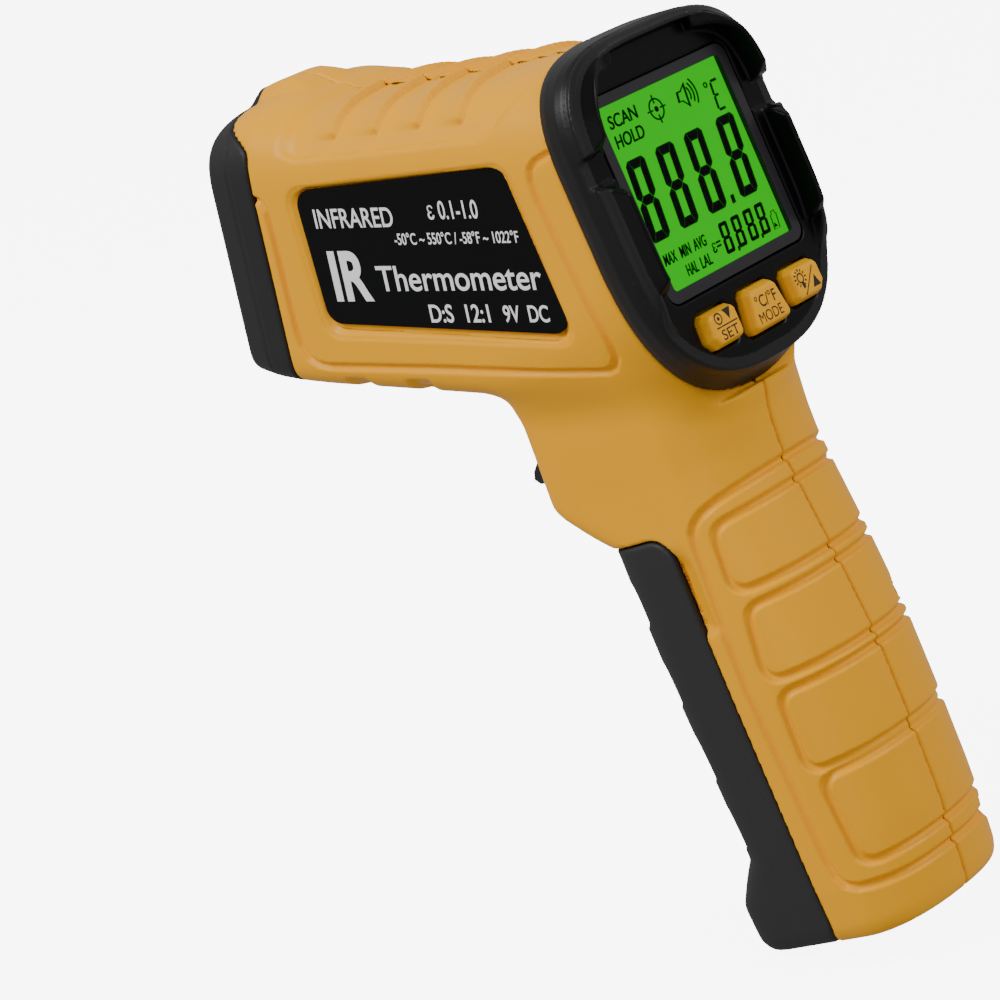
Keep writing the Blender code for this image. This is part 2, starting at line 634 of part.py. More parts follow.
def key_parts(key, outline):
    """Key cap with its skirt and stem, and the contact pill below it."""
    middle = [sum(values) / len(outline) for values in zip(*outline)]
    axis = make_frame(key + "_axis", (*middle, 0.0), parent=DISPLAY)
    local = [(u - middle[0], v - middle[1]) for u, v in outline]
    levels = ((-3.2, 1.0), (KEY_TOP - 0.5, 1.0), (KEY_TOP, 0.86))
    cap = loft(key + "_button", [[(u * k, v * k, n) for u, v in local] for n, k in levels], axis)
    skirt = [(u, v + 0.6) for u, v in grown(local, 0.5)]
    join(cap, plate(key + "_skirt", skirt, -3.9, -2.9, "Z", axis, tool=True),
         rod(key + "_stem", 2.1, (0, 0, -4.5), 1.4, "Z", axis, tool=True, sides=12))
    finish(cap, material(key + "_button", (0.75, 0.42, 0.05), 0.45))
    finish(rod(key + "_contact", 1.7, (0, 0, -5.7), 0.5, "Z", axis, sides=12),
           material(key + "_contact", (0.02, 0.02, 0.02), 0.7))
    return middle


rear_bezel()
pane = rounded(((-18.0, -16.6), (18.0, -16.6), (18.0, 16.6), (-18.0, 16.6)), 2.2)
finish(plate("display_window", pane, -1.0, -0.4, "Z", DISPLAY),
       material("display_window", (0.02, 0.02, 0.02), 0.05, alpha=0.3))
finish(box("lcd_glass", (-16.0, -15.3, -3.9), (16.0, 15.6, -1.3), DISPLAY),
       material("lcd_glass", (0.05, 0.4, 0.05), 0.1))
finish(box("lcd_backlight", (-16.0, -13.3, -6.4), (16.0, 15.6, -4.2), DISPLAY),
       material("lcd_backlight", (0.05, 0.9, 0.1), 0.4))
finish(box("lcd_connector", (-15.0, -15.3, -6.4), (15.0, -13.6, -4.2), DISPLAY),
       material("lcd_connector", (0.3, 0.1, 0.25), 0.6))
KEYPAD = rounded(((-11.0, -26.8), (11.0, -26.8), (16.6, -20.5), (16.0, -18.4), (-16.0, -18.4),
                  (-16.6, -20.5)), 1.0)
board = oval(18.6, 18.8, -29.0, 5.0, -5.0, 3.4, 2.6)
finish(plate("display_board", board, -8.5, -6.9, "Z", DISPLAY),
       material("display_board", (0.02, 0.14, 0.06), 0.45))
mat = plate("keypad_membrane", KEYPAD, -5.9, -5.1, "Z", DISPLAY)
for key, outline in KEYS:
    centre = key_parts(key, outline)
    cut(mat, rod(key + "_web_hole", 2.5, (*centre, -5.5), 4.0, "Z", DISPLAY, tool=True, sides=16))
finish(mat, material("keypad_membrane", (0.7, 0.7, 0.66), 0.6))


# ---------------------------------------------------------------- trigger
def trigger():
    """Finger lever: a concave blade, a hub round the pin and a rear arm for the spring."""
    blade_outline = [(-3.0, 3.3), (-7.6, 1.8), (-8.4, -1.6), (-8.4, -5.2), (-9.6, -9.0),
                     (-11.7, -12.2), (-11.9, -13.6), (-10.8, -14.3), (-6.6, -13.9), (0.4, -12.8),
                     (2.0, -10.0), (2.4, -4.0), (5.0, -1.2), (10.0, -0.8), (10.4, 0.6), (6.0, 2.6), (2.6, 3.3)]
    lever = plate("trigger", blade_outline, -TRIGGER_HALF, TRIGGER_HALF, "Y", TRIGGER)
    cut(lever, rod("trigger_bore", PIN_BORE, (0, 0, 0), 20.0, "Y", TRIGGER, tool=True, sides=16))
    for side in (-1, 1):
        low, high = sorted((side * 3.2, side * 9.0))
        cut(lever, box("arm_relief_%d" % side, (3.4, low, -4.0), (14.0, high, 6.0), TRIGGER, tool=True))
    return finish(lever, material("trigger", **DARK_PLASTIC))


trigger()
finish(rod("trigger_pin", PIN_RADIUS, (0, 0, 0), 21.0, "Y", TRIGGER, sides=16),
       material("trigger_pin", (0.6, 0.6, 0.62), 0.3, 1.0))
SPRING_LOW, SPRING_HIGH = 92.6, 99.4
turns, per_turn, coil = 5, 9, 1.7
spring = [(TRIGGER_PIVOT[0] + 7.4 + coil * math.cos(2 * math.pi * i / per_turn),
           coil * math.sin(2 * math.pi * i / per_turn),
           SPRING_LOW + 0.3 + (SPRING_HIGH - SPRING_LOW - 0.6) * i / (turns * per_turn))
          for i in range(turns * per_turn + 1)]
finish(wire("trigger_spring", spring, 0.25), material("trigger_spring", (0.6, 0.6, 0.62), 0.3, 1.0))

# ---------------------------------------------------------------- battery bay
BATTERY_LOW, BATTERY_HIGH = 14.8, 62.8
cell = rounded(((-9.4, -13.1), (7.9, -13.1), (7.9, 13.1), (-9.4, 13.1)), 2.2)
battery = plate("battery", cell, BATTERY_LOW, BATTERY_HIGH, "Z", GRIP)
for y, radius in ((-6.4, 2.9), (6.4, 3.9)):
    join(battery, rod("terminal_%d" % round(y), radius, (-0.8, y, BATTERY_HIGH + 0.9), 2.4, "Z", GRIP,
                      tool=True, sides=12))
finish(battery, material("battery", (0.03, 0.03, 0.035), 0.35))
snap = rounded(((-6.6, -12.2), (5.0, -12.2), (5.0, 12.2), (-6.6, 12.2)), 4.0)
finish(plate("battery_snap", snap, BATTERY_HIGH + 2.4, BATTERY_HIGH + 5.4, "Z", GRIP),
       material("battery_snap", (0.02, 0.02, 0.02), 0.55))
for name, colour, y, finish_x in (("battery_lead_red", (0.5, 0.02, 0.02), 5.0, 14.2),
                                  ("battery_lead_black", (0.02, 0.02, 0.02), -5.0, 12.6)):
    route = [(19.9, y, 71.3), (18.4, y * 0.96, 73.8), (16.6, y * 0.85, 76.5), (15.0, y * 0.6, 80.0),
             (finish_x + 1.2, 0.5 + y * 0.2, 84.5), (finish_x + 0.4, 2.0, 88.5),
             (finish_x, 3.1, 91.5), (finish_x, 3.3, 94.5)]
    finish(wire(name, route, 0.65), material(name, colour, 0.5))


def battery_door():
    """Front of the grip: a channel with a floor, a hinge knuckle and a latch tongue."""
    door = loft("battery_door", grip_rings(0, 0), GRIP)
    cut(door, loft("door_hollow", grip_rings(WALL, WALL), GRIP, tool=True))
    keep(door, plate("door_outline", door_zone(0), -30.0, 30.0, "Y", GRIP, tool=True))
    x, height = DOOR_PIVOT
    join(door, rod("door_knuckle", 2.5, (x, 0, height), 23.4, "Y", GRIP, tool=True, sides=12),
         box("door_knuckle_web", (x - 1.6, -11.7, 1.2), (x + 1.6, 11.7, height), GRIP, tool=True),
         box("latch_root", (-12.6, -3.5, DOOR_TOP - 3.4), (-8.9, 3.5, DOOR_TOP - 0.6), GRIP, tool=True),
         box("latch_tongue", (-10.7, -3.2, DOOR_TOP - 3.0), (-9.0, 3.2, DOOR_TOP + 1.8), GRIP, tool=True))
    cut(door, rod("door_bore", PIN_BORE, (x, 0, height), 30.0, "Y", GRIP, tool=True, sides=16))
    for side in (-1, 1):
        low, high = sorted((side * 11.75, side * 14.75))
        cut(door, box("arm_slot_%d" % side, (x - 2.3, low, -1.0), (4.0, high, height + 2.4), GRIP, tool=True))
    door.parent = DOOR
    door.data.transform(Matrix.Translation(Vector((-x, 0, -height)) * MM))
    return finish(door, material("battery_door", **DARK_PLASTIC))


battery_door()
finish(rod("door_hinge_pin", PIN_RADIUS, (0, 0, 0), 28.4, "Y", DOOR, sides=16),
       material("door_hinge_pin", (0.6, 0.6, 0.62), 0.3, 1.0))
finish(box("battery_pad", (-10.3, -5.0, 24.0), (-9.7, 5.0, 54.0), GRIP),
       material("battery_pad", (0.05, 0.05, 0.05), 0.9))
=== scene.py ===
"""Looks of a pistol-grip infrared thermometer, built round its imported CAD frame.

Lengths in the shape code are millimetres in the frame's axes: the nose points to -X,
the display to +X, +Z is up. Each moulded piece is a distance field, meshed on a grid.
"""

import math

import bmesh
import bpy
import numpy as np
from mathutils import Matrix, Vector


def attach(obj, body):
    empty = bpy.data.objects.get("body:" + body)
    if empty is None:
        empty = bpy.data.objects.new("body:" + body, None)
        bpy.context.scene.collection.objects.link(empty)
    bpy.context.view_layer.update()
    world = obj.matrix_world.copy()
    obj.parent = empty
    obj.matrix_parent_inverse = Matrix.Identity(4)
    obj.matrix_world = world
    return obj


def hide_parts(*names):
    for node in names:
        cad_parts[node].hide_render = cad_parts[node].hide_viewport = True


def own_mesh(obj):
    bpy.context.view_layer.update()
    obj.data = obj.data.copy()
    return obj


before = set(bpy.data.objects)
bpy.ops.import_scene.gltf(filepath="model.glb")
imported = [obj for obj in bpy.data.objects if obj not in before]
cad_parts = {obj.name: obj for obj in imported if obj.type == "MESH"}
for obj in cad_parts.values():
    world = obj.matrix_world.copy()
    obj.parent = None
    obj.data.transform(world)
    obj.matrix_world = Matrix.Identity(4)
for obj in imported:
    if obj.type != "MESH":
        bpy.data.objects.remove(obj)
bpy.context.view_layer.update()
MM = 0.001

# ------------------------------------------------------------------ frames
LEAN, TILT = math.radians(15.0), math.radians(15.7)
GRIP_AT = (39.395, 0.0, 3.856)
DISPLAY_AT = (29.65, 0.0, 125.7)


def turn(columns, at):
    rows = Matrix([(*row, 0.0) for row in Matrix(columns).transposed()] + [(0, 0, 0, 1)])
    return Matrix.Translation(at) @ rows


WORLD = Matrix.Identity(4)
GRIP = turn(((math.cos(LEAN), 0, math.sin(LEAN)), (0, 1, 0), (-math.sin(LEAN), 0, math.cos(LEAN))), GRIP_AT)
DISPLAY = turn(((0, 1, 0), (-math.sin(TILT), 0, math.cos(TILT)), (math.cos(TILT), 0, math.sin(TILT))),
               DISPLAY_AT)


def to_grip(x, z):
    """World x, z to the grip's own x (rearwards) and height."""
    dx, dz = x - GRIP_AT[0], z - GRIP_AT[2]
    return math.cos(LEAN) * dx + math.sin(LEAN) * dz, math.cos(LEAN) * dz - math.sin(LEAN) * dx


def to_display(x, z):
    """World x, z to the display's v (up the face) and level n."""
    dx, dz = x - DISPLAY_AT[0], z - DISPLAY_AT[2]
    return math.cos(TILT) * dz - math.sin(TILT) * dx, math.cos(TILT) * dx + math.sin(TILT) * dz


# ------------------------------------------------------------------ field tools
def smin(a, b, k):
    """Smallest of two fields with a fillet of size k."""
    h = np.clip(0.5 + 0.5 * (b - a) / k, 0, 1)
    return b + (a - b) * h - k * h * (1 - h)


def smax(a, b, k=0.4):
    return -smin(-a, -b, k)


def step(t):
    """Smooth 0 to 1."""
    t = np.clip(t, 0, 1)
    return t * t * (3 - 2 * t)


def bump(t):
    """Smooth 1 at t = 0, falling to 0 at |t| = 1."""
    t = np.clip(np.abs(t), 0, 1)
    return (1 - t * t) ** 2


def eased(stations, width):
    """Station table, resampled finely and rounded over a width."""
    table = np.array(stations, float)
    dense = np.arange(table[0, 0] - width, table[-1, 0] + width, 0.25)
    window = np.hanning(int(width / 0.25) | 1)
    window /= window.sum()
    columns = [np.convolve(np.pad(np.interp(dense, table[:, 0], table[:, i]), len(window) // 2, mode="edge"),
                           window, mode="valid") for i in range(1, table.shape[1])]
    return dense, columns


def oval(a, b, half, top, bottom, high, low, power_top, power_bottom):
    """Distance to a superellipse-cornered outline: a across, b up."""
    up = b > (high + low) / 2
    reach = np.maximum(np.where(up, top - high, low - bottom), 1.0)
    power = np.where(up, power_top, power_bottom)
    over = np.clip(np.where(up, b - high, low - b), 0, None) / reach
    side = np.abs(a) / half
    value = np.maximum(side ** power + over ** power, 1e-6) ** (1 / power)
    slope = np.hypot(side ** (power - 1) / half, over ** (power - 1) / reach) * value ** (1 - power)
    return (value - 1) / np.maximum(slope, 0.6 / half)


def polygon(points, a, b):
    """Signed distance to a closed 2D polygon, negative inside."""
    points = np.array(points, float)
    best = np.full(a.shape, 1e9)
    inside = np.zeros(a.shape, bool)
    for (ax, ay), (bx, by) in zip(points, np.roll(points, -1, axis=0)):
        ex, ey = bx - ax, by - ay
        t = np.clip(((a - ax) * ex + (b - ay) * ey) / (ex * ex + ey * ey), 0, 1)
        best = np.minimum(best, (a - ax - t * ex) ** 2 + (b - ay - t * ey) ** 2)
        cross = (ay <= b) != (by <= b)
        inside ^= cross & (a < ax + (b - ay) * ex / (ey if ey else 1e-9))
    return np.where(inside, -1, 1) * np.sqrt(best)


def path(points, a, b):
    """Distance to an open 2D polyline."""
    points = np.array(points, float)
    best = np.full(a.shape, 1e9)
    for (ax, ay), (bx, by) in zip(points, points[1:]):
        ex, ey = bx - ax, by - ay
        t = np.clip(((a - ax) * ex + (b - ay) * ey) / (ex * ex + ey * ey), 0, 1)
        best = np.minimum(best, (a - ax - t * ex) ** 2 + (b - ay - t * ey) ** 2)
    return np.sqrt(best)


def rounded(corners, radii, steps=5):
    """Polygon with corner arcs; radii is one value or one for each corner."""
    radii = [radii] * len(corners) if isinstance(radii, (int, float)) else radii
    points = []
    for i, radius in enumerate(radii):
        before, here, after = (Vector(corners[j % len(corners)]) for j in (i - 1, i, i + 1))
        first, second = (before - here).normalized(), (after - here).normalized()
        half_angle = first.angle(second) / 2
        centre = here + (first + second).normalized() * radius / math.sin(half_angle)
        start = here + first * radius / math.tan(half_angle) - centre
        end = here + second * radius / math.tan(half_angle) - centre
        sweep = start.angle_signed(end)
        for k in range(steps + 1):
            angle = -sweep * k / steps
            points.append((centre.x + start.x * math.cos(angle) - start.y * math.sin(angle),
                           centre.y + start.x * math.sin(angle) + start.y * math.cos(angle)))
    return points


def block(a, b, c, low, high, soft=0.4):
    """Distance to a box between two corners."""
    sides = [np.maximum(lo - p, p - hi) for p, lo, hi in zip((a, b, c), low, high)]
    return smax(smax(sides[0], sides[1], soft), sides[2], soft)


# ------------------------------------------------------------------ meshing
EDGES = [(a, b) for a in range(8) for b in range(8) if a < b and bin(a ^ b).count("1") == 1]


def nets(field, low, high, pitch):
    """Surface-net mesh of a field on a grid: vertex array and quad array."""
    grid = np.meshgrid(*(np.arange(lo - pitch, hi + 2 * pitch, pitch) for lo, hi in zip(low, high)),
                       indexing="ij", sparse=False)
    values = field(*grid)
    inside = values < 0
    shape = tuple(n - 1 for n in values.shape)

    def corner(array, index):
        return array[tuple(slice(bit, bit + size) for bit, size in zip(((index >> 2) & 1, (index >> 1) & 1,
                                                                        index & 1), shape))]

    count = sum(corner(inside, i).astype(np.uint8) for i in range(8))
    cells = np.argwhere((count > 0) & (count < 8))
    number = np.full(shape, -1, np.int64)
    number[tuple(cells.T)] = np.arange(len(cells))
    total, hits = np.zeros((len(cells), 3)), np.zeros(len(cells))
    for a, b in EDGES:
        bits = [np.array([(c >> 2) & 1, (c >> 1) & 1, c & 1]) for c in (a, b)]
        one, two = (values[tuple((cells + bit).T)] for bit in bits)
        crossing = (one < 0) != (two < 0)
        share = np.where(crossing, one / np.where(crossing, one - two, 1), 0)[:, None]
        total += np.where(crossing[:, None], bits[0] + share * (bits[1] - bits[0]), 0)
        hits += crossing
    origin = np.array([g[0, 0, 0] for g in grid])
    verts = origin + pitch * (cells + total / hits[:, None])
    quads = []
    for axis in range(3):
        b, c = (axis + 1) % 3, (axis + 2) % 3
        first = np.moveaxis(inside, (axis, b, c), (0, 1, 2))
        ids = np.moveaxis(number, (axis, b, c), (0, 1, 2))
        change = first[:-1, 1:-1, 1:-1] != first[1:, 1:-1, 1:-1]
        where = np.argwhere(change)
        i, j, k = where[:, 0], where[:, 1] + 1, where[:, 2] + 1
        ring = np.stack([ids[i, j - 1, k - 1], ids[i, j, k - 1], ids[i, j, k], ids[i, j - 1, k]], 1)
        flip = ~first[i, j, k]
        ring[flip] = ring[flip][:, ::-1]
        quads.append(ring)
    return verts, np.concatenate(quads)


def slope_of(field, points, reach=0.04):
    """Gradient of a field at points."""
    columns = []
    for axis in range(3):
        shift = np.zeros(3)
        shift[axis] = reach
        columns.append((field(*(points + shift).T) - field(*(points - shift).T)) / (2 * reach))
    return np.stack(columns, 1)


def settle(field, verts, pitch, rounds=3):
    """Vertices moved onto the field's zero surface."""
    for _ in range(rounds):
        slope = slope_of(field, verts)
        size = np.maximum((slope ** 2).sum(1), 0.05)
        move = -field(*verts.T) / size
        verts = verts + np.clip(move, -pitch, pitch)[:, None] * slope
    return verts


def relax(verts, quads, weight=0.5):
    """One round of smoothing towards the neighbours."""
    total, count = np.zeros_like(verts), np.zeros(len(verts))
    for a, b in ((0, 1), (1, 2), (2, 3), (3, 0)):
        np.add.at(total, quads[:, a], verts[quads[:, b]])
        np.add.at(count, quads[:, a], 1)
        np.add.at(total, quads[:, b], verts[quads[:, a]])
        np.add.at(count, quads[:, b], 1)
    return verts + weight * (total / np.maximum(count, 1)[:, None] - verts)


def mesh_object(name, verts, faces, place=WORLD):
    mesh = bpy.data.meshes.new(name)
    rows = faces if isinstance(faces, list) else faces.tolist()
    mesh.from_pydata((np.asarray(verts) * MM).tolist(), [], rows)
    obj = bpy.data.objects.new(name, mesh)
    bpy.context.scene.collection.objects.link(obj)
    matrix = place.copy()
    matrix.translation *= MM
    mesh.transform(matrix)
    mesh.shade_smooth()
    return obj


def moulded(name, field, low, high, pitch=0.5, place=WORLD, shape=None, detail=None, guide=None):
    """Meshed field, with an optional surface shape: a push along the normal, in mm.

    detail is a function that marks where the mesh needs to be finer."""
    verts, quads = nets(field, low, high, pitch)
    verts = settle(field, verts, pitch)
    for _ in range(2):
        verts = settle(field, relax(verts, quads), pitch, 2)
    if detail is not None:
        verts, quads = refined(verts, quads, detail)
        verts = settle(field, verts, pitch, 1)
    if shape is not None:
        normal = slope_of(guide or field, verts, 0.15)
        normal /= np.maximum(np.linalg.norm(normal, axis=1), 1e-6)[:, None]
        verts = verts + shape(*verts.T)[:, None] * normal
    return mesh_object(name, verts, quads, place)


def refined(verts, quads, detail):
    """Splits the quads where detail says so; neighbours become fans that keep the mesh closed."""
    work = bmesh.new()
    rows = [work.verts.new(v) for v in verts.tolist()]
    for quad in quads.tolist():
        work.faces.new([rows[i] for i in quad])
    work.verts.index_update()
    wanted = detail(*verts.T)
    edges = [e for e in work.edges if wanted[e.verts[0].index] or wanted[e.verts[1].index]]
    bmesh.ops.subdivide_edges(work, edges=edges, cuts=1, use_grid_fill=True)
    work.verts.index_update()
    out = np.array([v.co[:] for v in work.verts])
    faces = [[v.index for v in f.verts] for f in work.faces]
    work.free()
    return out, faces


# ------------------------------------------------------------------ outer skin
WALL = 2.2
RING_TOP, RING_LOW = 148.0, 92.97             # heights of the display end of the barrel
BARREL = eased((              # station, half width, top, bottom, corner start high, low, powers
    (-55.0, 19.2, 140.6, 98.4, 129.0, 105.0, 3.2, 5.0),
    (-49.4, 20.7, 142.6, 97.0, 129.0, 105.0, 3.2, 5.0),
    (-44.15, 21.1, 143.4, 96.4, 129.0, 105.0, 3.2, 5.0),
    (-38.0, 21.4, 142.6, 96.0, 129.0, 105.0, 3.2, 5.0),
    (-20.0, 21.6, 143.4, 95.2, 129.0, 105.0, 3.2, 5.0),
    (-3.0, 21.8, 145.0, 94.4, 129.0, 105.0, 3.2, 5.0),
    (27.0, 22.8, RING_TOP, RING_LOW, 129.2, 119.5, 2.8, 2.4)), 5.0)
GRIP_SKIN = eased((           # height, front, back, half width
    (0.0, -14.9, 16.0, 16.4), (2.0, -16.3, 16.7, 17.5), (8.5, -16.4, 17.4, 17.9),
    (16.0, -12.8, 18.1, 18.0), (30.0, -13.2, 18.7, 18.0), (43.0, -13.7, 18.9, 18.0),
    (56.0, -13.8, 17.9, 17.8), (70.0, -13.4, 16.4, 17.4), (74.0, -16.4, 15.9, 17.4),
    (79.0, -20.4, 16.2, 17.4), (88.0, -19.2, 17.5, 17.8), (96.0, -18.4, 16.5, 18.0),
    (104.0, -14.0, 12.0, 17.0)), 4.0)


def barrel(x, y, z, inset=0.0):
    """Distance to the barrel's skin; its last station leans with the display."""
    rear = DISPLAY_AT[0] - 5 * math.cos(TILT) - math.tan(TILT) * (z - DISPLAY_AT[2] + 5 * math.sin(TILT))
    station = np.where(x > -3, -3 + 30 * (x + 3) / (rear + 3), x)
    half, top, bottom, high, low, power_top, power_low = (
        np.interp(station, BARREL[0], column) for column in BARREL[1])
    return oval(y, z, half - inset, top - inset, bottom + inset, high, low, power_top, power_low)


def grip(gx, y, height, inset=0.0):
    """Distance to the grip's skin, in the grip's frame."""
    front, back, half = (np.interp(height, GRIP_SKIN[0], column) for column in GRIP_SKIN[1])
    boxy = np.interp(height, (9.0, 16.0, 70.0, 77.0), (6.0, 3.0, 3.0, 8.0))
    return oval(y, gx, half - inset, back - inset, front + inset, 6.0, -4.0, 2.3, boxy)


def skin(x, y, z, inset=0.0):
    """Barrel and grip with a fillet, without their ends."""
    gx, height = to_grip(x, z)
    neck = smax(grip(gx, y, height, inset), height - 108, 2.0)
    return smin(barrel(x, y, z, inset), smax(neck, inset - height, 1.2), 6.0)


DOOR_TOP, DOOR_EDGE, DOOR_CORNER = 70.0, 1.4, 4.0
DOOR_PIVOT, DOOR_SWEEP = (-8.5, 4.5), 9.9
GAP = 0.3


def door_zone(offset):
    """Side outline of the door in the grip's frame, grown by an offset."""
    edge, top = DOOR_EDGE + offset, DOOR_TOP + offset
    corner = [(edge - DOOR_CORNER + DOOR_CORNER * math.cos(math.radians(a)),
               top - DOOR_CORNER + DOOR_CORNER * math.sin(math.radians(a))) for a in range(90, -1, -10)]
    sweep = [(DOOR_PIVOT[0] + (DOOR_SWEEP + offset) * math.cos(math.radians(a)),
              DOOR_PIVOT[1] + (DOOR_SWEEP + offset) * math.sin(math.radians(a))) for a in range(0, -37, -6)]
    return [(-34.0, top), *corner, *sweep, (-1.0, -8.0), (-34.0, -8.0)]


# ------------------------------------------------------------------ surface shapes
LABEL_BED = rounded(((-33.6, 107.3), (17.0, 105.3), (9.1, 133.5), (-35.2, 130.7)), 3.2)
LABEL_BORDER = rounded(((-34.6, 105.7), (18.4, 104.6), (10.8, 134.2), (-37.2, 131.0)), (3.4, 3.2, 3.8, 3.4))
SIDE_GROOVE = ((-47, 130), (-43.0, 128.9), (-41.8, 127.2), (-41.6, 123.3), (-41.2, 106.8), (-40.8, 104.4),
               (-39.7, 102.4), (-38.0, 101.3), (-35.6, 100.9), (-9.5, 100.8), (13.5, 100.3), (21.0, 100.3),
               (22.4, 100.9), (23.4, 102.4), (23.4, 104.5), (23.0, 106.8), (19.3, 117.7), (15.9, 127.8),
               (15.3, 131.0), (15.5, 132.8), (16.6, 134.0), (19.5, 135.2))
SHOULDER = ((-38.2, 160), (-38.2, 136.3), (-33.4, 135.2), (-16.8, 136.0), (5.5, 137.3), (8.8, 138.6),
            (10.7, 141.3), (13.8, 144.4), (17.1, 147.2), (20, 160))
RIBS = ((-30.4, 138.5), (-21.4, 139.0), (-12.4, 139.6), (-3.5, 140.0))
GRIP_GROOVE = ((30, 76.0), (20, 75.0), (12.3, 73.0), (9.6, 71.9), (7.8, 70.6), (6.8, 69.3), (6.5, 67.5),
               (5.4, 53.8), (5.2, 43.4), (5.9, 26), (6.4, 13.6), (6.9, 11.2), (8.0, 9.6), (9.8, 8.7),
               (15.5, 8.0), (30, 8.0))
CELLS = (((10.3, 69.4), (9.9, 58.6)), ((10.7, 56.0), (9.4, 43.9)), ((10.3, 41.6), (9.9, 28.4)),
         ((11.1, 27.0), (11.8, 11.7)))
CELL_PATHS = [rounded(((34, top + 3.2 if i == 0 else top + 0.6), (front, top), (front_low, low), (34, low)),
                      (0.5, 2.4, 2.4, 0.5)) for i, ((front, top), (front_low, low)) in enumerate(CELLS)]


def groove(distance, width, depth):
    """Rounded channel of a full width."""
    return -depth * bump(distance / (width / 2)) ** 0.75


def rib_crease(seam_x, side):
    """x of a shoulder rib's steep edge, which runs back towards the sides."""
    return seam_x + 0.2 * side + 0.4


SHOULDER_DEPTH = 1.15
LABEL_DEPTH, BORDER_GROOVE = 0.95, (0.7, 0.22)
SIDE_CHANNEL, GRIP_CHANNEL = (1.6, 0.8), (1.8, 0.85)    # width, depth
NOTCHES, NOTCH_DEPTH = ((-33.2, -28.2), (-20.0, -14.8)), 0.9
DOOR_SCOOP_DEPTH = 1.5


def housing_shape(x, y, z):
    """Push on the outer skin, in mm: grooves, ribs, recesses."""
    gx, height = to_grip(x, z)
    side = np.abs(y)
    push = np.zeros_like(x)
    flank = step((side - 13) / 4)
    on_barrel = step((x + 60) / 1) * step((z - 93) / 2)
    # label recess and the long groove round it
    border = polygon(LABEL_BORDER, x, z)
    push -= LABEL_DEPTH * step(-border / 1.7) * flank * on_barrel
    push += groove(np.abs(border + 0.25), *BORDER_GROOVE) * flank * on_barrel
    push += groove(path(SIDE_GROOVE, x, z), *SIDE_CHANNEL) * flank * on_barrel
    # shoulder recess with its ribs
    shoulder = polygon(SHOULDER, x, z)
    front_wall = step((x + 38.4) / 3.6)
    recess = step(-shoulder / 1.3 + 0.1) * front_wall * step((z - 134) / 1.0)
    push -= SHOULDER_DEPTH * recess
    for seam_x, end in RIBS:
        crease = rib_crease(seam_x, np.clip(side, 0, 20))
        rise = np.clip((x - crease + 6.2) / 6.2, 0, 1)
        rib = rise ** 1.5 * (1 - step((x - crease) / 0.45))
        push += SHOULDER_DEPTH * rib * step((z - end) / 0.8) * recess
    # hump behind the nose
    hump = bump(np.clip(side - 3.5, 0, None) / 4.5) * (z > 130)
    fall = np.interp(x, (-56, -53, -46.6, -40.3), (0.6, 2.0, 1.9, 0.0))
    push += hump * fall
    # notches along the lower edge of the barrel
    for low, high in NOTCHES:
        along = step((x - low) / 0.8) * step((high - x) / 0.8)
        push -= NOTCH_DEPTH * along * step((side - 15.5) / 1.0) * step((99.0 - z) / 1.0) * step((side - 12) / 2)
    # grip grooves
    back = step((gx - 3) / 1.5) * step((84 - height) / 1.0)
    push += groove(path(GRIP_GROOVE, gx, height), *GRIP_CHANNEL) * back
    for cell in CELL_PATHS:
        push += groove(np.abs(polygon(cell, gx, height)), *GRIP_CHANNEL) * back * step((gx - 4) / 2)
    # finger scoop beside the door
    scoop = step((height - 53.0) / 1.6) * step((69.0 - height) / 5.0) * step((DOOR_EDGE + 4.6 - gx) / 4.2)
    push -= DOOR_SCOOP_DEPTH * scoop * step((side - 8) / 3)
    return push


def housing_detail(x, y, z):
    """Where the housing's mesh is split: near grooves, ribs and borders."""
    gx, height = to_grip(x, z)
    side = np.abs(y)
    near = (path(SIDE_GROOVE, x, z) < 1.3) & (side > 15) & (z > 96)
    near |= (np.abs(polygon(LABEL_BORDER, x, z) + 0.6) < 1.5) & (side > 18)
    on_grip = (gx > 3.5) & (height < 80) & (height > 4)
    near |= on_grip & (path(GRIP_GROOVE, gx, height) < 1.3)
    for cell in CELL_PATHS:
        near |= on_grip & (np.abs(polygon(cell, gx, height)) < 1.3)
    for seam_x, end in RIBS:
        crease = rib_crease(seam_x, side)
        near |= (np.abs(x - crease - 0.2) < 0.7) & (z > end - 1)
    return near & (skin(x, y, z) > -0.7)


def nose_seam(z):
    """x of the nose cap's rear edge; it runs forward over the top."""
    return -44.45 - 8.5 * step((z - 136.0) / 6.5)


SCREWS = (("world", -26.0, 136.2), ("world", -38.4, 101.6), ("world", 6.5, 140.0),
          ("grip", 8.0, 81.0), ("grip", 13.2, 46.0), ("grip", 12.4, 8.6))
POST, SCREW_BORE, SHELVES = 3.0, 2.75, (13.2, 64.6)


def screw_distances(x, z, gx, height):
    """Distance to each screw's axis, in the side view."""
    for kind, a, b in SCREWS:
        yield np.hypot(x - a, z - b) if kind == "world" else np.hypot(gx - a, height - b)


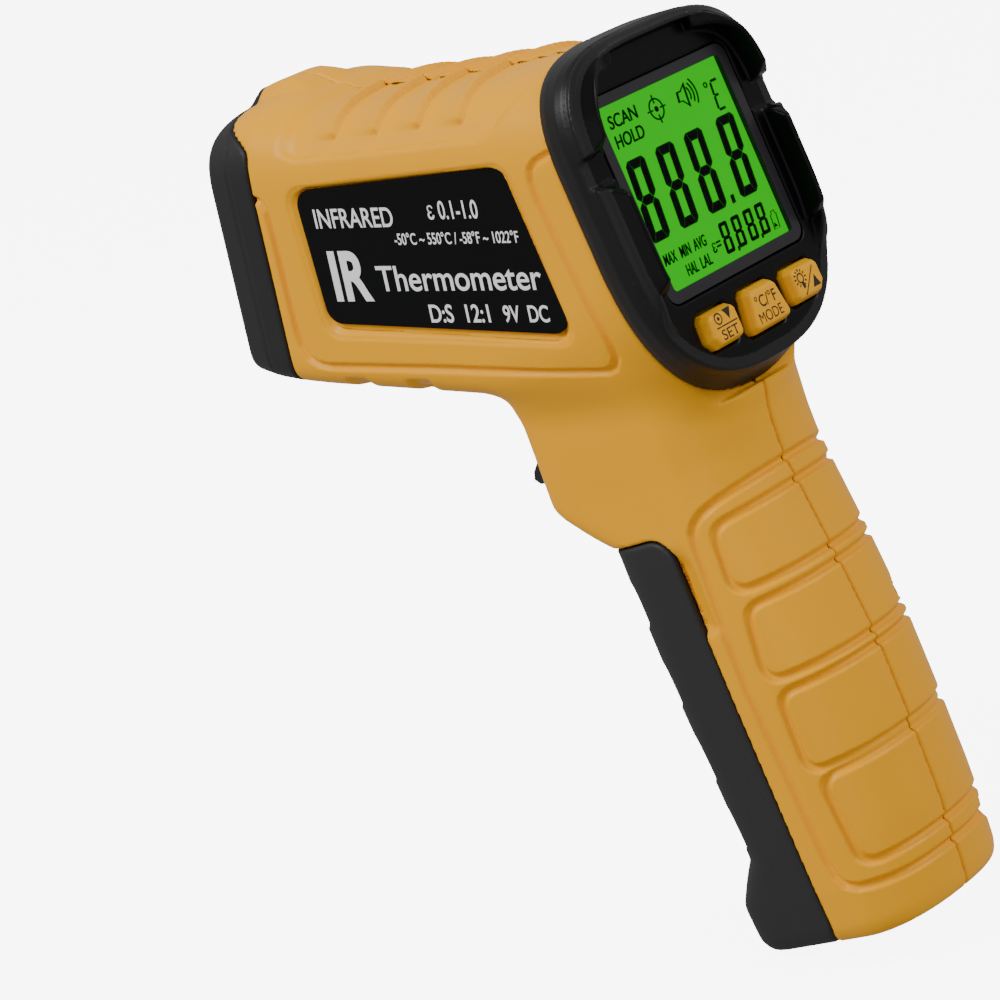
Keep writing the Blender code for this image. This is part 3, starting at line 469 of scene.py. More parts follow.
def housing_field(side):
    """One half of the housing: a wall with screw posts, shelves, hinge arm, door and trigger openings."""
    def field(x, y, z):
        gx, height = to_grip(x, z)
        v, n = to_display(x, z)
        outer = skin(x, y, z)
        hollow = smax(skin(x, y, z, WALL), -50 - x, 0.4)
        across = side * y
        for far in screw_distances(x, z, gx, height):
            hollow = smax(hollow, POST - far, 0.6)
        for level in SHELVES:
            shelf = block(gx, across, height, (8.8, 3, level - 1), (19, 11, level + 1))
            hollow = smax(hollow, -shelf, 0.5)
        shell = smax(outer, -hollow, 0.4)
        shell = smax(shell, nose_seam(z) + 0.3 - x, 0.5)
        beyond = smax(v + 33.7, grip(gx, y, height) - 0.6)
        shell = smax(shell, smin(n + 6.5, beyond, 0.4), 0.4)
        plate_bed = smax(polygon(LABEL_BED, x, z), 20.5 - across, 0.2)
        shell = smax(shell, -plate_bed, 0.3)
        shell = smax(shell, -polygon(door_zone(GAP), gx, height), 0.4)
        arm = smax(np.abs(across - 13.25) - 1.0, polygon(
            [(6.0, 6.4), (-8.5, 6.4), (-10.1, 5.4), (-10.4, 4.5), (-10.1, 3.6), (-8.5, 2.6), (6.0, 2.6)],
            gx, height), 0.4)
        shell = smin(shell, arm, 0.6)
        slot = block(x, y, z, (-30, -6.35, 75.2), (4.6, 6.35, 93.9), 1.0)
        shell = smax(shell, -slot, 0.5)
        if side > 0:
            for far in screw_distances(x, z, gx, height):
                shell = smax(shell, -smax(far - SCREW_BORE, 9.0 - y, 0.3), 0.4)
        return smax(shell, 0.12 - across, 0.35)
    return field


def outside_only(shape):
    """A surface shape that leaves the inner walls alone."""
    def pushed(x, y, z):
        return shape(x, y, z) * step((skin(x, y, z) + 0.9) / 0.5)
    return pushed


PITCH = 0.55
housing = {}
for side, name in ((-1, "left"), (1, "right")):
    edges = (0.0, 24.5) if side > 0 else (-24.5, 0.0)
    housing[name] = moulded(name + "_shell", housing_field(side), (-54, edges[0], 0), (58, edges[1], 150),
                            PITCH, shape=outside_only(housing_shape), detail=housing_detail, guide=skin)
    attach(housing[name], "housing")
    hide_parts(name + "_housing")

# ------------------------------------------------------------------ materials
def linear(*rgb):
    """Display values 0-255 to linear colour."""
    return tuple((c / 255 / 12.92) if c <= 10 else ((c / 255 + 0.055) / 1.055) ** 2.4 for c in rgb)


def look(name, colour, rough=0.45, metal=0.0, grain=0.1, scale=2600.0, vary=0.06, glow=0.0, spec=0.4,
         alpha=1.0):
    """Procedural material: broad noise varies colour and roughness, fine noise raises a grain."""
    made = bpy.data.materials.new(name)
    made.use_nodes = True
    tree = made.node_tree
    shader = tree.nodes["Principled BSDF"]
    place = tree.nodes.new("ShaderNodeTexCoord")
    broad, fine = (tree.nodes.new("ShaderNodeTexNoise") for _ in range(2))
    broad.inputs["Scale"].default_value = 60.0
    fine.inputs["Scale"].default_value = scale
    for noise in (broad, fine):
        noise.inputs["Detail"].default_value = 2.0
        tree.links.new(place.outputs["Object"], noise.inputs["Vector"])
    ramp = tree.nodes.new("ShaderNodeValToRGB")
    rgb = linear(*colour)
    for element, factor in zip(ramp.color_ramp.elements, (1 - vary, 1 + vary)):
        element.color = (*(min(1.0, c * factor) for c in rgb), 1.0)
    tree.links.new(broad.outputs["Fac"], ramp.inputs["Fac"])
    tree.links.new(ramp.outputs["Color"], shader.inputs["Base Color"])
    spread = tree.nodes.new("ShaderNodeMapRange")
    spread.inputs["To Min"].default_value = rough * 0.9
    spread.inputs["To Max"].default_value = min(1.0, rough * 1.1)
    tree.links.new(broad.outputs["Fac"], spread.inputs["Value"])
    tree.links.new(spread.outputs["Result"], shader.inputs["Roughness"])
    raised = tree.nodes.new("ShaderNodeBump")
    raised.inputs["Strength"].default_value = grain
    raised.inputs["Distance"].default_value = 0.0001
    tree.links.new(fine.outputs["Fac"], raised.inputs["Height"])
    tree.links.new(raised.outputs["Normal"], shader.inputs["Normal"])
    shader.inputs["Metallic"].default_value = metal
    shader.inputs["Specular IOR Level"].default_value = spec
    shader.inputs["Alpha"].default_value = alpha
    if glow:
        tree.links.new(ramp.outputs["Color"], shader.inputs["Emission Color"])
        tree.links.remove(shader.inputs["Base Color"].links[0])
        shader.inputs["Base Color"].default_value = (0, 0, 0, 1)
        shader.inputs["Emission Strength"].default_value = glow
    return made


YELLOW = look("yellow_plastic", (240, 166, 0), 0.38, grain=0.16, vary=0.03, spec=0.2)
KEY_YELLOW = look("key_rubber", (243, 170, 0), 0.42, grain=0.12, vary=0.03, spec=0.22)
DARK = look("dark_plastic", (34, 34, 35), 0.5, grain=0.3, scale=3200.0, spec=0.25)
DOOR_DARK = look("door_plastic", (42, 42, 43), 0.55, grain=0.4, scale=3200.0, spec=0.25)
BEZEL_DARK = look("bezel_plastic", (20, 20, 21), 0.4, grain=0.12, spec=0.25)
GLOSS = look("gloss_black", (7, 7, 8), 0.3, grain=0.03, vary=0.1, spec=0.12)
LABEL_BLACK = look("label_black", (8, 8, 9), 0.35, grain=0.05, vary=0.1, spec=0.12)
PRINT_WHITE = look("print_white", (235, 235, 235), 0.5, grain=0.05, vary=0.02)
PRINT_BLACK = look("print_black", (28, 20, 8), 0.5, grain=0.05, vary=0.05)
LCD_GREEN = look("lcd_green", (0, 255, 0), 0.4, grain=0.02, vary=0.005, glow=0.62, spec=0.05)
LCD_DARK = look("lcd_segment", (2, 2, 3), 0.6, grain=0.02, spec=0.05)
BORDER_DARK = look("window_border", (36, 33, 38), 0.3, grain=0.05, spec=0.3)
PANE = look("window_clear", (0, 0, 0), 0.1, grain=0.02, vary=0.005, spec=0.2, alpha=0.04)
STEEL = look("steel", (190, 190, 194), 0.3, metal=1.0, grain=0.1, scale=1500.0)
BRASS = look("brass", (200, 165, 90), 0.3, metal=1.0, grain=0.1, scale=1500.0)
BOARD = look("circuit_board", (22, 88, 48), 0.45, grain=0.3, scale=700.0, vary=0.2)
RUBBER = look("pale_rubber", (200, 198, 190), 0.6, grain=0.2)
BLACK = look("black_plastic", (26, 26, 28), 0.5, grain=0.2)
RED = look("red_sleeve", (170, 24, 20), 0.4, grain=0.1)
LENS = look("infrared_lens", (84, 74, 82), 0.12, metal=0.5, grain=0.02)
RED_GLASS = look("laser_glass", (90, 20, 22), 0.08, grain=0.02)
FOAM = look("foam", (70, 70, 74), 0.9, grain=0.6, scale=1200.0, vary=0.2)

CAD_LOOKS = {
    "battery": BLACK, "battery_lead_black": BLACK, "battery_lead_red": RED, "battery_pad": FOAM,
    "battery_snap": BLACK, "buzzer": GLOSS, "display_board": BOARD, "door_hinge_pin": STEEL, "ir_lens": LENS,
    "keypad_membrane": RUBBER, "laser_module": BRASS, "laser_optic": LENS, "laser_window": RED_GLASS,
    "lcd_backlight": RUBBER, "lcd_connector": BLACK, "lcd_glass": LCD_GREEN, "lens_retaining_ring": STEEL,
    "lens_shroud": DARK, "main_board": BOARD, "processor": GLOSS, "sensor_board": BOARD,
    "thermopile_sensor": STEEL, "trigger": DOOR_DARK, "trigger_pin": STEEL, "trigger_plunger": RUBBER,
    "trigger_spring": STEEL, "trigger_switch": GLOSS,
    **{key + "_contact": BLACK for key in ("set", "mode", "light")},
    **{name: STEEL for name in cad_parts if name.startswith("screw_")}}
for name, made in CAD_LOOKS.items():
    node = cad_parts[name]
    node.data.materials.clear()
    node.data.materials.append(made)


def dress(obj, made, body, *stands_for):
    """Gives a piece its material and its body, and hides the CAD nodes it stands for."""
    obj.data.materials.clear()
    obj.data.materials.append(made)
    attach(obj, body)
    if stands_for:
        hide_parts(*stands_for)
    return obj


for piece in housing.values():
    piece.data.materials.append(YELLOW)


# ------------------------------------------------------------------ flat shapes and print
SIDE_LEFT = Matrix(((1, 0, 0, 0), (0, 0, -1, 0), (0, 1, 0, 0), (0, 0, 0, 1)))
SIDE_RIGHT = Matrix(((-1, 0, 0, 0), (0, 0, 1, 0), (0, 1, 0, 0), (0, 0, 0, 1)))


def solid_of(curve):
    """Mesh data of a curve, as a new mesh."""
    guide = bpy.data.objects.new("guide", curve)
    bpy.context.scene.collection.objects.link(guide)
    made = bpy.data.meshes.new_from_object(guide.evaluated_get(bpy.context.evaluated_depsgraph_get()))
    bpy.data.objects.remove(guide)
    return made


def flat(outlines, low, high):
    """Mesh of closed outlines, inner ones as holes, extruded between two levels."""
    curve = bpy.data.curves.new("flat", "CURVE")
    curve.dimensions, curve.fill_mode, curve.extrude = "2D", "BOTH", (high - low) / 2
    for outline in outlines:
        spline = curve.splines.new("POLY")
        spline.points.add(len(outline) - 1)
        for point, (a, b) in zip(spline.points, outline):
            point.co = (a, b, 0, 1)
        spline.use_cyclic_u = True
    made = solid_of(curve)
    made.transform(Matrix.Translation((0, 0, (low + high) / 2)))
    return made


def words(text, box, low, high, shear=0.0, bold=0.0):
    """Mesh of a word that fills a box (u low, v low, u high, v high), leaning by shear."""
    curve = bpy.data.curves.new("words", "FONT")
    curve.body, curve.size, curve.extrude, curve.offset = text, 10.0, 1.0, bold
    made = solid_of(curve)
    corners = [v.co for v in made.vertices]
    low_u, high_u = min(c.x for c in corners), max(c.x for c in corners)
    low_v, high_v = min(c.y for c in corners), max(c.y for c in corners)
    scale_u, scale_v = (box[2] - box[0]) / (high_u - low_u), (box[3] - box[1]) / (high_v - low_v)
    for vertex in made.vertices:
        u, v = (vertex.co.x - low_u) * scale_u + box[0], (vertex.co.y - low_v) * scale_v + box[1]
        vertex.co = (u + shear * (v - box[1]), v, low + (high - low) * (vertex.co.z > 0))
    return made


def gathered(name, meshes, place):
    """One piece from several meshes in a frame."""
    work = bmesh.new()
    for made in meshes:
        work.from_mesh(made)
        bpy.data.meshes.remove(made)
    bmesh.ops.remove_doubles(work, verts=work.verts, dist=1e-4)
    verts = [tuple(v.co) for v in work.verts]
    work.verts.index_update()
    faces = [[v.index for v in f.verts] for f in work.faces]
    work.free()
    obj = mesh_object(name, verts, faces, place)
    obj.data.shade_flat()
    return obj


def circle(u, v, radius, steps=32, start=0.0, end=360.0):
    return [(u + radius * math.cos(math.radians(start + (end - start) * i / steps)),
             v + radius * math.sin(math.radians(start + (end - start) * i / steps)))
            for i in range(steps + (end - start < 360))]


def stroke(points, width):
    """Closed outline of a polyline drawn with a width."""
    left, right = [], []
    for i, point in enumerate(points):
        before, after = Vector(points[max(i - 1, 0)]), Vector(points[min(i + 1, len(points) - 1)])
        side = (after - before).normalized().orthogonal() * width / 2
        left.append((point[0] + side.x, point[1] + side.y))
        right.append((point[0] - side.x, point[1] - side.y))
    return left + right[::-1]


# ------------------------------------------------------------------ nose cap
NOSE = ((-55.0, 19.2, 140.6, 98.4), (-53.8, 19.7, 141.2, 97.9), (-49.4, 20.7, 142.6, 97.0),
        (-44.45, 21.1, 143.4, 96.4))    # x, half width, top, bottom
OPTIC_Z, LASER_Z = 115.0, 134.2


def nose_skin(x, y, z, inset=0.0):
    """Distance to the nose cap's tapering skin."""
    half, top, bottom = (np.interp(x, [s[0] for s in NOSE], [s[i] for s in NOSE]) for i in (1, 2, 3))
    return oval(y, z, half - inset, top - inset, bottom + inset, 129.0, 105.0, 3.2, 5.0)


def nose_field(x, y, z):
    """Hollow cap with a flared optic opening and the laser's hole."""
    shell = smax(smax(nose_skin(x, y, z), -55.0 - x, 0.7), x - nose_seam(z), 0.4)
    hollow = smax(nose_skin(x, y, z, WALL), -52.5 - x, 0.4)
    shell = smax(shell, -hollow, 0.3)
    flare = 11.6 + 1.2 * np.clip(-53.6 - x, 0, 2)
    shell = smax(shell, flare - np.hypot(y, z - OPTIC_Z), 0.4)
    return smax(shell, 3.3 - np.hypot(y, z - LASER_Z), 0.3)


def nose_shape(x, y, z):
    """Hump over the top and the fine seam behind the front rim."""
    hump = bump(np.clip(np.abs(y) - 3.5, 0, None) / 4.5) * (z > 130) * np.clip(nose_skin(x, y, z) + 1.0, 0, 1)
    seam = groove(x + 49.4, 0.8, 0.2) * (nose_skin(x, y, z) > -0.8)
    return 2.0 * hump * np.interp(x, (-55, -54, -53), (0, 0.3, 1.0)) + seam


dress(moulded("nose_shell", nose_field, (-55.5, -21.5, 96), (-44, 21.5, 144), 0.5, shape=nose_shape),
      DARK, "housing", "nose_cap")

# ------------------------------------------------------------------ bezel
# level, half width, top, bottom, powers of the upper and lower corners
FACE = ((-6.2, 23.4, 25.2, -33.2, 3.2, 2.4), (-4.4, 24.1, 25.0, -32.2, 3.3, 2.5),
        (-2.0, 24.7, 24.7, -30.9, 3.4, 2.6), (0.6, 24.4, 24.4, -30.6, 3.4, 2.6),
        (1.8, 23.5, 23.6, -29.6, 3.4, 2.6))
OPENING = rounded(((-16.3, -15.6), (16.3, -15.6), (16.3, 15.9), (-16.3, 15.9)), 0.6)
REBATE = rounded(((-18.3, -16.9), (18.3, -16.9), (18.3, 16.9), (-18.3, 16.9)), 2.4)
WINGS = ((8.6, 30.0, 3.7), (-14.8, 4.2, 3.7))    # lowest v, highest v, level of the top
KEY_SHIFT = 0.5
KEY_CORNERS = {
    "set": ((-13.9, -25.9), (-7.9, -25.9), (-7.2, -25.1), (-7.2, -20.9), (-8.0, -20.1),
            (-14.4, -20.1), (-15.3, -21.0), (-15.4, -24.3)),
    "mode": ((-4.3, -26.8), (4.3, -26.8), (5.1, -25.9), (3.9, -20.6), (3.0, -19.8),
             (-3.0, -19.8), (-3.9, -20.6), (-5.1, -25.9)),
    "light": ((7.9, -25.9), (13.9, -25.9), (15.4, -24.3), (15.3, -21.0), (14.4, -20.1),
              (8.0, -20.1), (7.2, -20.9), (7.2, -25.1))}
KEY_SHAPES = {key: [(a + KEY_SHIFT, b + KEY_SHIFT) for a, b in corners]
              for key, corners in KEY_CORNERS.items()}


def face_outline(u, v, n, shrink=0.0):
    """Distance to the bezel's outline at a level."""
    half, top, bottom, power_top, power_low = (
        np.interp(n, [s[0] for s in FACE], [s[i] for s in FACE]) for i in range(1, 6))
    return oval(u, v, half - shrink, top - shrink, bottom + shrink, 5.0, -5.0, power_top, power_low)


def rim_depth(u, v):
    """Depth inside the rim's outline."""
    return -oval(u, v, 24.4, 24.4, -30.6, 5.0, -5.0, 3.4, 2.6)


def wing(u, v, n, low, high, level):
    """Side wing: follows the rim and leans in to a narrow, shorter top; the upper one rounds the corner."""
    depth = rim_depth(u, v)
    back = np.interp(n, (-0.8, 1.8, level), (0.0, 0.8, 2.4))
    outer, inner = np.interp(n, (1.2, level), (0.8, 2.8)), np.interp(n, (-0.8, level), (4.0, 3.6))
    along = np.maximum(low + back - v, v - high + back)
    top = 1.8 + (level - 1.8) * step((np.abs(u) - 12.0) / 8.0)
    return smax(smax(np.maximum(outer - depth, depth - inner), np.maximum(along, 10.4 - np.abs(u)), 0.25),
                np.maximum((n - top) * 0.9, -0.8 - n), 0.3)


def bezel_field(u, v, n):
    """Hollow bezel with rim, wings, window and key openings."""
    outer = face_outline(u, v, n)
    rim = rim_depth(u, v)
    top = np.interp(rim, (0.9, 1.35, 2.0, 2.5), (1.6, 1.8, 1.75, -0.2))
    top = -0.2 + (top + 0.2) * step((v + 21.0) / 7.0)
    saddle = step((v - 3.4) / 1.4) * step((9.8 - v) / 1.4) * (np.abs(u) > 14)
    top = np.minimum(top, 1.8 - 2.3 * saddle)
    body = smax(smax(outer, -6.2 - n, 0.3), (n - top) * 0.7, 0.35)
    for low, high, level in WINGS:
        body = smin(body, wing(u, v, n, low, high, level), 0.3)
    pocket = smax(face_outline(u, v, n, WALL), n + 2.6, 0.3)
    body = smax(body, -pocket, 0.3)
    window = np.minimum(polygon(OPENING, u, v), smax(polygon(REBATE, u, v), -1.15 - n, 0.1))
    body = smax(body, -window, 0.15)
    for outline in KEY_SHAPES.values():
        body = smax(body, 0.35 - polygon(outline, u, v), 0.2)
    return body


def bezel_shape(u, v, n):
    """Fine groove round the bezel's outer wall."""
    on_skin = step((face_outline(u, v, n) + 1.0) / 0.4)
    return groove(n - 0.2, 1.0, 0.35) * on_skin * step((v + 21.0) / 7.0)


def bezel_detail(u, v, n):
    """Where the bezel's mesh is finer: its rim and the window's rebate."""
    rim = rim_depth(u, v)
    return ((rim > 0.2) & (rim < 3.2) & (n > -0.6)) | ((n > -1.3) & (np.abs(polygon(REBATE, u, v)) < 0.6))


bezel = dress(moulded("bezel", bezel_field, (-25.5, -34, -6.6), (25.5, 26, 4.8), 0.4, DISPLAY, bezel_shape,
                      bezel_detail), BEZEL_DARK, "housing", "rear_bezel")
bezel.data.materials.append(GLOSS)
middles = np.zeros(len(bezel.data.polygons) * 3)
bezel.data.polygons.foreach_get("center", middles)
middles = middles.reshape(-1, 3) / MM - np.array(DISPLAY_AT)
levels = middles @ np.array(DISPLAY.col[2][:3])
inside = rim_depth(middles[:, 1], middles @ np.array(DISPLAY.col[1][:3]))
glossy = (levels > -1.3) & (inside > 1.9) | (levels > 2.0)
bezel.data.polygons.foreach_set("material_index", glossy.astype(np.int32))

border = rounded(((-18.0, -16.6), (18.0, -16.6), (18.0, 16.6), (-18.0, 16.6)), 2.2, 8)
clear = rounded(((-16.0, -14.8), (16.0, -14.8), (16.0, 14.9), (-16.0, 14.9)), 0.8, 4)
dress(gathered("window_border", [flat([border, clear], -1.0, -0.4)], DISPLAY), BORDER_DARK, "housing",
      "display_window")
pane = rounded(((-15.98, -14.78), (15.98, -14.78), (15.98, 14.88), (-15.98, 14.88)), 0.8, 4)
dress(gathered("window_pane", [flat([pane], -0.9, -0.42)], DISPLAY), PANE, "housing", "display_window")


# ------------------------------------------------------------------ display segments
INK_LOW, INK_HIGH = -1.29, -1.2


def ink(*outlines):
    """Flat mark on the display, from outlines in u, v."""
    return flat(list(outlines), INK_LOW, INK_HIGH)


def digit(u, v, width, height, thick, lean, gap):
    """Seven-segment figure: corners chamfered, thin gaps between the segments."""
    c, m, g = 0.45 * thick, height / 2, gap
    t, w, h = thick, width, height
    shapes = {
        "a": [(c + 1.4 * g, h), (w - c - 1.4 * g, h), (w - t - g, h - t), (t + g, h - t)],
        "f": [(0, h - c), (c, h), (t, h - t - g), (t, m + t / 2 + g), (t / 2, m + g), (0, m + t / 2)],
        "b": [(w, h - c), (w - c, h), (w - t, h - t - g), (w - t, m + t / 2 + g), (w - t / 2, m + g),
              (w, m + t / 2)],
        "g": [(t / 2 + g, m), (t + g, m + t / 2), (w - t - g, m + t / 2), (w - t / 2 - g, m),
              (w - t - g, m - t / 2), (t + g, m - t / 2)]}
    for lower, upper in (("d", "a"), ("e", "f"), ("c", "b")):
        shapes[lower] = [(a, h - b) for a, b in shapes[upper]]
    return [ink([(u + a + lean * b / h, v + b) for a, b in shapes[s]]) for s in "abcdefg"]


marks = []
for u in (-15.35, -7.75, -0.2, 8.4):
    marks += digit(u, -6.95, 4.75, 12.9, 1.5, 1.5, 0.09)
for u in (-0.1, 3.2, 6.5, 9.7):
    marks += digit(u, -13.6, 2.15, 4.9, 0.6, 0.6, 0.03)
for u, v, size in ((5.95, -7.0, 0.95), (2.75, -13.9, 0.5), (9.25, -13.9, 0.5)):
    top = v + size * 1.4
    marks.append(ink([(u, v), (u + size * 0.85, v), (u + size, top), (u + size * 0.15, top)]))
for text, place in (("SCAN", (-13.7, 11.2, -6.6, 13.3)), ("HOLD", (-13.9, 8.1, -6.8, 10.2)),
                    ("MAX", (-14.6, -10.8, -11.5, -9.0)), ("MIN", (-10.4, -10.8, -7.8, -9.0)),
                    ("AVG", (-6.9, -10.8, -3.7, -9.0)), ("HAL", (-10.6, -13.7, -7.8, -11.9)),
                    ("LAL", (-6.9, -13.7, -4.1, -11.9)), ("ε=", (-3.0, -12.5, -0.7, -10.9))):
    marks.append(words(text, place, INK_LOW, INK_HIGH, 0.12, 0.12))
TARGET = (-1.9, 11.2)
marks.append(ink(circle(*TARGET, 1.75), circle(*TARGET, 1.5)))
marks.append(ink(circle(*TARGET, 0.45)))
for ends in zip(circle(*TARGET, 0.9, 4), circle(*TARGET, 2.3, 4)):
    marks.append(ink(stroke(list(ends), 0.25)))
horn = [(3.5, 10.5), (4.6, 10.5), (6.0, 9.2), (6.5, 13.2), (5.0, 12.2), (3.9, 12.2)]
inner_horn = [(5.05 + (u - 5.05) * 0.68, 11.2 + (v - 11.2) * 0.74) for u, v in horn]
marks.append(ink(horn, inner_horn))
for radius in (1.6, 2.4, 3.2):
    marks.append(ink(stroke(circle(5.4, 11.2, radius, 12, -36, 42), 0.27)))
marks.append(ink(circle(11.2, 11.3, 0.48), circle(11.2, 11.3, 0.28)))


def unit_stem(v):
    """u of the unit letter's sloping stem."""
    return 12.0 + 0.12 * (v - 7)


for low_v, high_v in ((9.3, 11.3), (7.1, 9.1)):
    marks.append(ink(stroke([(unit_stem(low_v), low_v), (unit_stem(high_v), high_v)], 0.42)))
for level, reach in ((11.5, 1.5), (9.2, 0.9), (6.9, 1.5)):
    start = unit_stem(level) + 0.15
    marks.append(ink(stroke([(start, level), (start + reach, level)], 0.42)))
cell = [(12.9, -13.6), (14.3, -13.6), (14.7, -11.3), (14.4, -11.3), (14.45, -10.8), (13.6, -10.8),
        (13.55, -11.3), (13.2, -11.3)]
marks.append(ink(stroke(cell + cell[:2], 0.14)))
marks.append(ink([(13.15, -13.3), (14.0, -13.3), (13.4, -12.6)]))
dress(gathered("lcd_segments", marks, DISPLAY), LCD_DARK, "housing")


# ------------------------------------------------------------------ keys
KEY_TOP, KEY_FOOT = 1.9, -3.6
FLANGE_TOP, FLANGE_FOOT, STEM_FOOT = -2.9, -3.9, -5.2
KEY_PITCH, KEY_SPARE = 0.24, 0.8


def key_field(outline):
    """Cap with sloping sides, the flange below it and a round stem."""
    shape = rounded(outline, 0.45, 3)

    def field(u, v, n):
        edge = polygon(shape, u, v)
        slant = edge + 0.45 * np.clip(n - 0.4, 0, None)
        cap = smax(slant, np.maximum(n - KEY_TOP, KEY_FOOT - n), 0.5)
        flange = smax(edge - 0.5, np.maximum(n - FLANGE_TOP, FLANGE_FOOT - n), 0.3)
        middle = np.mean(outline, axis=0) - KEY_SHIFT    # the stem keeps to the CAD's axis
        radial = np.hypot(u - middle[0], v - middle[1])
        stem = smax(radial - 2.1, np.maximum(n - FLANGE_TOP, STEM_FOOT - n), 0.3)
        return np.minimum(np.minimum(cap, flange), stem)
    return field


INK_KEY = (KEY_TOP - 0.02, KEY_TOP + 0.02)


def key_ink(*outlines):
    return flat(list(outlines), *INK_KEY)


def key_marks(key):
    """Legend of one key: generic words and signs."""
    if key == "mode":
        return [words("°C/°F", (-2.5, -22.9, 2.9, -20.9), *INK_KEY, 0.0, 0.08),
                words("MODE", (-3.0, -25.2, 3.1, -23.5), *INK_KEY, 0.0, 0.0)]
    if key == "set":
        dot = (-12.1, -21.1)
        return [key_ink(circle(*dot, 0.95), circle(*dot, 0.72)), key_ink(circle(*dot, 0.3)),
                key_ink([(-10.5, -20.1), (-8.6, -20.1), (-9.5, -21.9)]),
                key_ink(stroke([(-13.3, -22.4), (-7.9, -22.4)], 0.2)),
                words("SET", (-12.6, -24.5, -8.4, -22.9), *INK_KEY, 0.0, 0.04)]
    u0, v0 = 9.9, -21.8
    bulb = [key_ink(circle(u0, v0, 0.85), circle(u0, v0, 0.6)),
            key_ink(stroke([(10.0, -22.6), (10.2, -23.5)], 0.6))]
    for k in range(11):
        a = math.radians(-60 + 30 * k)
        ends = [(u0 + r * math.cos(a), v0 + r * math.sin(a)) for r in (1.05, 1.5)]
        bulb.append(key_ink(stroke(ends, 0.24)))
    slash = key_ink(stroke([(9.9, -24.6), (13.7, -20.8)], 0.2))
    up_mark = key_ink([(12.2, -24.1), (14.2, -24.1), (13.3, -22.2)])
    return bulb + [slash, up_mark]


for key, outline in KEY_SHAPES.items():
    low = (min(p[0] for p in outline) - KEY_SPARE, min(p[1] for p in outline) - KEY_SPARE, STEM_FOOT - 0.3)
    high = (max(p[0] for p in outline) + KEY_SPARE, max(p[1] for p in outline) + KEY_SPARE, KEY_TOP + 0.3)
    dress(moulded(key + "_cap", key_field(outline), low, high, KEY_PITCH, DISPLAY), KEY_YELLOW,
          key + "_key", key + "_button")
    dress(gathered(key + "_legend", key_marks(key), DISPLAY), PRINT_BLACK, key + "_key")

# ------------------------------------------------------------------ side labels
PLATE_BACK, PLATE_FACE, PRINT_BACK, PRINT_FACE = 20.6, 21.2, 21.19, 21.24
TEXTS = (("INFRARED", (-31.6, 124.2, -15.0, 127.4), 0.1), ("ε 0.1-1.0", (-7.6, 125.2, 2.6, 128.2), 0.1),
         ("-50°C ~ 550°C / -58°F ~ 1022°F", (-15.6, 121.2, 9.6, 123.2), 0.1),
         ("IR", (-30.6, 112.0, -22.6, 120.4), 0.3), ("Thermometer", (-21.0, 113.6, 12.4, 117.8), 0.1),
         ("D:S  12:1", (-11.6, 108.4, 0.6, 111.4), 0.15), ("9V  DC", (3.4, 108.4, 12.4, 111.2), 0.15))
UPPER_ROWS = 120.0    # rows above this height sit further along on the right label
LABEL_PLATE = rounded(((-33.3, 108.3), (16.9, 106.4), (9.0, 133.2), (-34.9, 130.4)), 3.0, 8)
for name, place, mirror in (("left", SIDE_LEFT, 1), ("right", SIDE_RIGHT, -1)):
    outline = [(mirror * x, z) for x, z in LABEL_PLATE]
    plate = flat([outline], PLATE_BACK, PLATE_FACE)
    dress(gathered(name + "_plate", [plate], place), LABEL_BLACK, "housing", name + "_label")
    printed = []
    for text, (left, low, right, high), bold in TEXTS:
        shift = 0 if mirror > 0 else 23.0 if low > UPPER_ROWS else 20.4
        box = (left + shift, low, right + shift, high)
        printed.append(words(text, box, PRINT_BACK, PRINT_FACE, 0.0, bold))
    dress(gathered(name + "_print", printed, place), PRINT_WHITE, "housing")


# ------------------------------------------------------------------ battery door
PIN_BORE, BORE_END = 1.08, 15.0


def door_field(gx, y, height):
    """Hollow shell with hinge knuckle, web, latch tongue and a slot on each side for the hinge lugs."""
    x0, h0 = DOOR_PIVOT
    outer = smax(grip(gx, y, height), -height, 1.2)
    hollow = smax(grip(gx, y, height, WALL), WALL - height, 0.4)
    shell = smax(outer, -hollow, 0.3)
    across = np.abs(y)
    knuckle = smax(np.hypot(gx - x0, height - h0) - 2.5, across - 11.7, 0.3)
    web = block(gx, across, height, (x0 - 1.6, -1, 1.2), (x0 + 1.6, 11.7, h0))
    root = block(gx, across, height, (-12.6, -1, DOOR_TOP - 3.4), (-8.9, 3.5, DOOR_TOP - 0.6))
    tongue = block(gx, across, height, (-10.7, -1, DOOR_TOP - 3.0), (-9.0, 3.2, DOOR_TOP + 1.8))
    body = smax(shell, polygon(door_zone(0.0), gx, height), 0.5)
    for extra in (knuckle, web, root, tongue):
        body = smin(body, extra, 0.3)
    bore = np.maximum(np.hypot(gx - x0, height - h0) - PIN_BORE, across - BORE_END)
    body = smax(body, -bore, 0.1)
    slot = block(gx, across, height, (x0 - 2.3, 11.75, -1.0), (4.0, 14.75, h0 + 2.4), 0.2)
    return smax(body, -slot, 0.3)


SCOOPS = ((54.4, 62.4), (40.7, 48.6), (27.6, 36.0), (15.6, 23.4))    # ledge and upper end of each
SCOOP_DEPTH = 1.5


def above_ledge(y, height, low):
    """Height above a scoop's ledge, which rises towards the sides."""
    return height - low - (np.abs(y) / 12.0) ** 2 * 1.2


def door_shape(gx, y, height):
    """Finger scoops down the front, each ending on a ledge."""
    on_skin = step((grip(gx, y, height) + 0.9) / 0.5)
    front = step((-4.0 - gx) / 3.0)
    push = np.zeros_like(gx)
    for low, high in SCOOPS:
        rise = above_ledge(y, height, low)
        t = rise / (high - low)
        dip = step(rise / 0.9) * np.clip(1 - t, 0, 1) ** 0.8 * (t < 1)
        push -= SCOOP_DEPTH * dip * step((17.6 - np.abs(y)) / 3.4)
    return push * on_skin * front


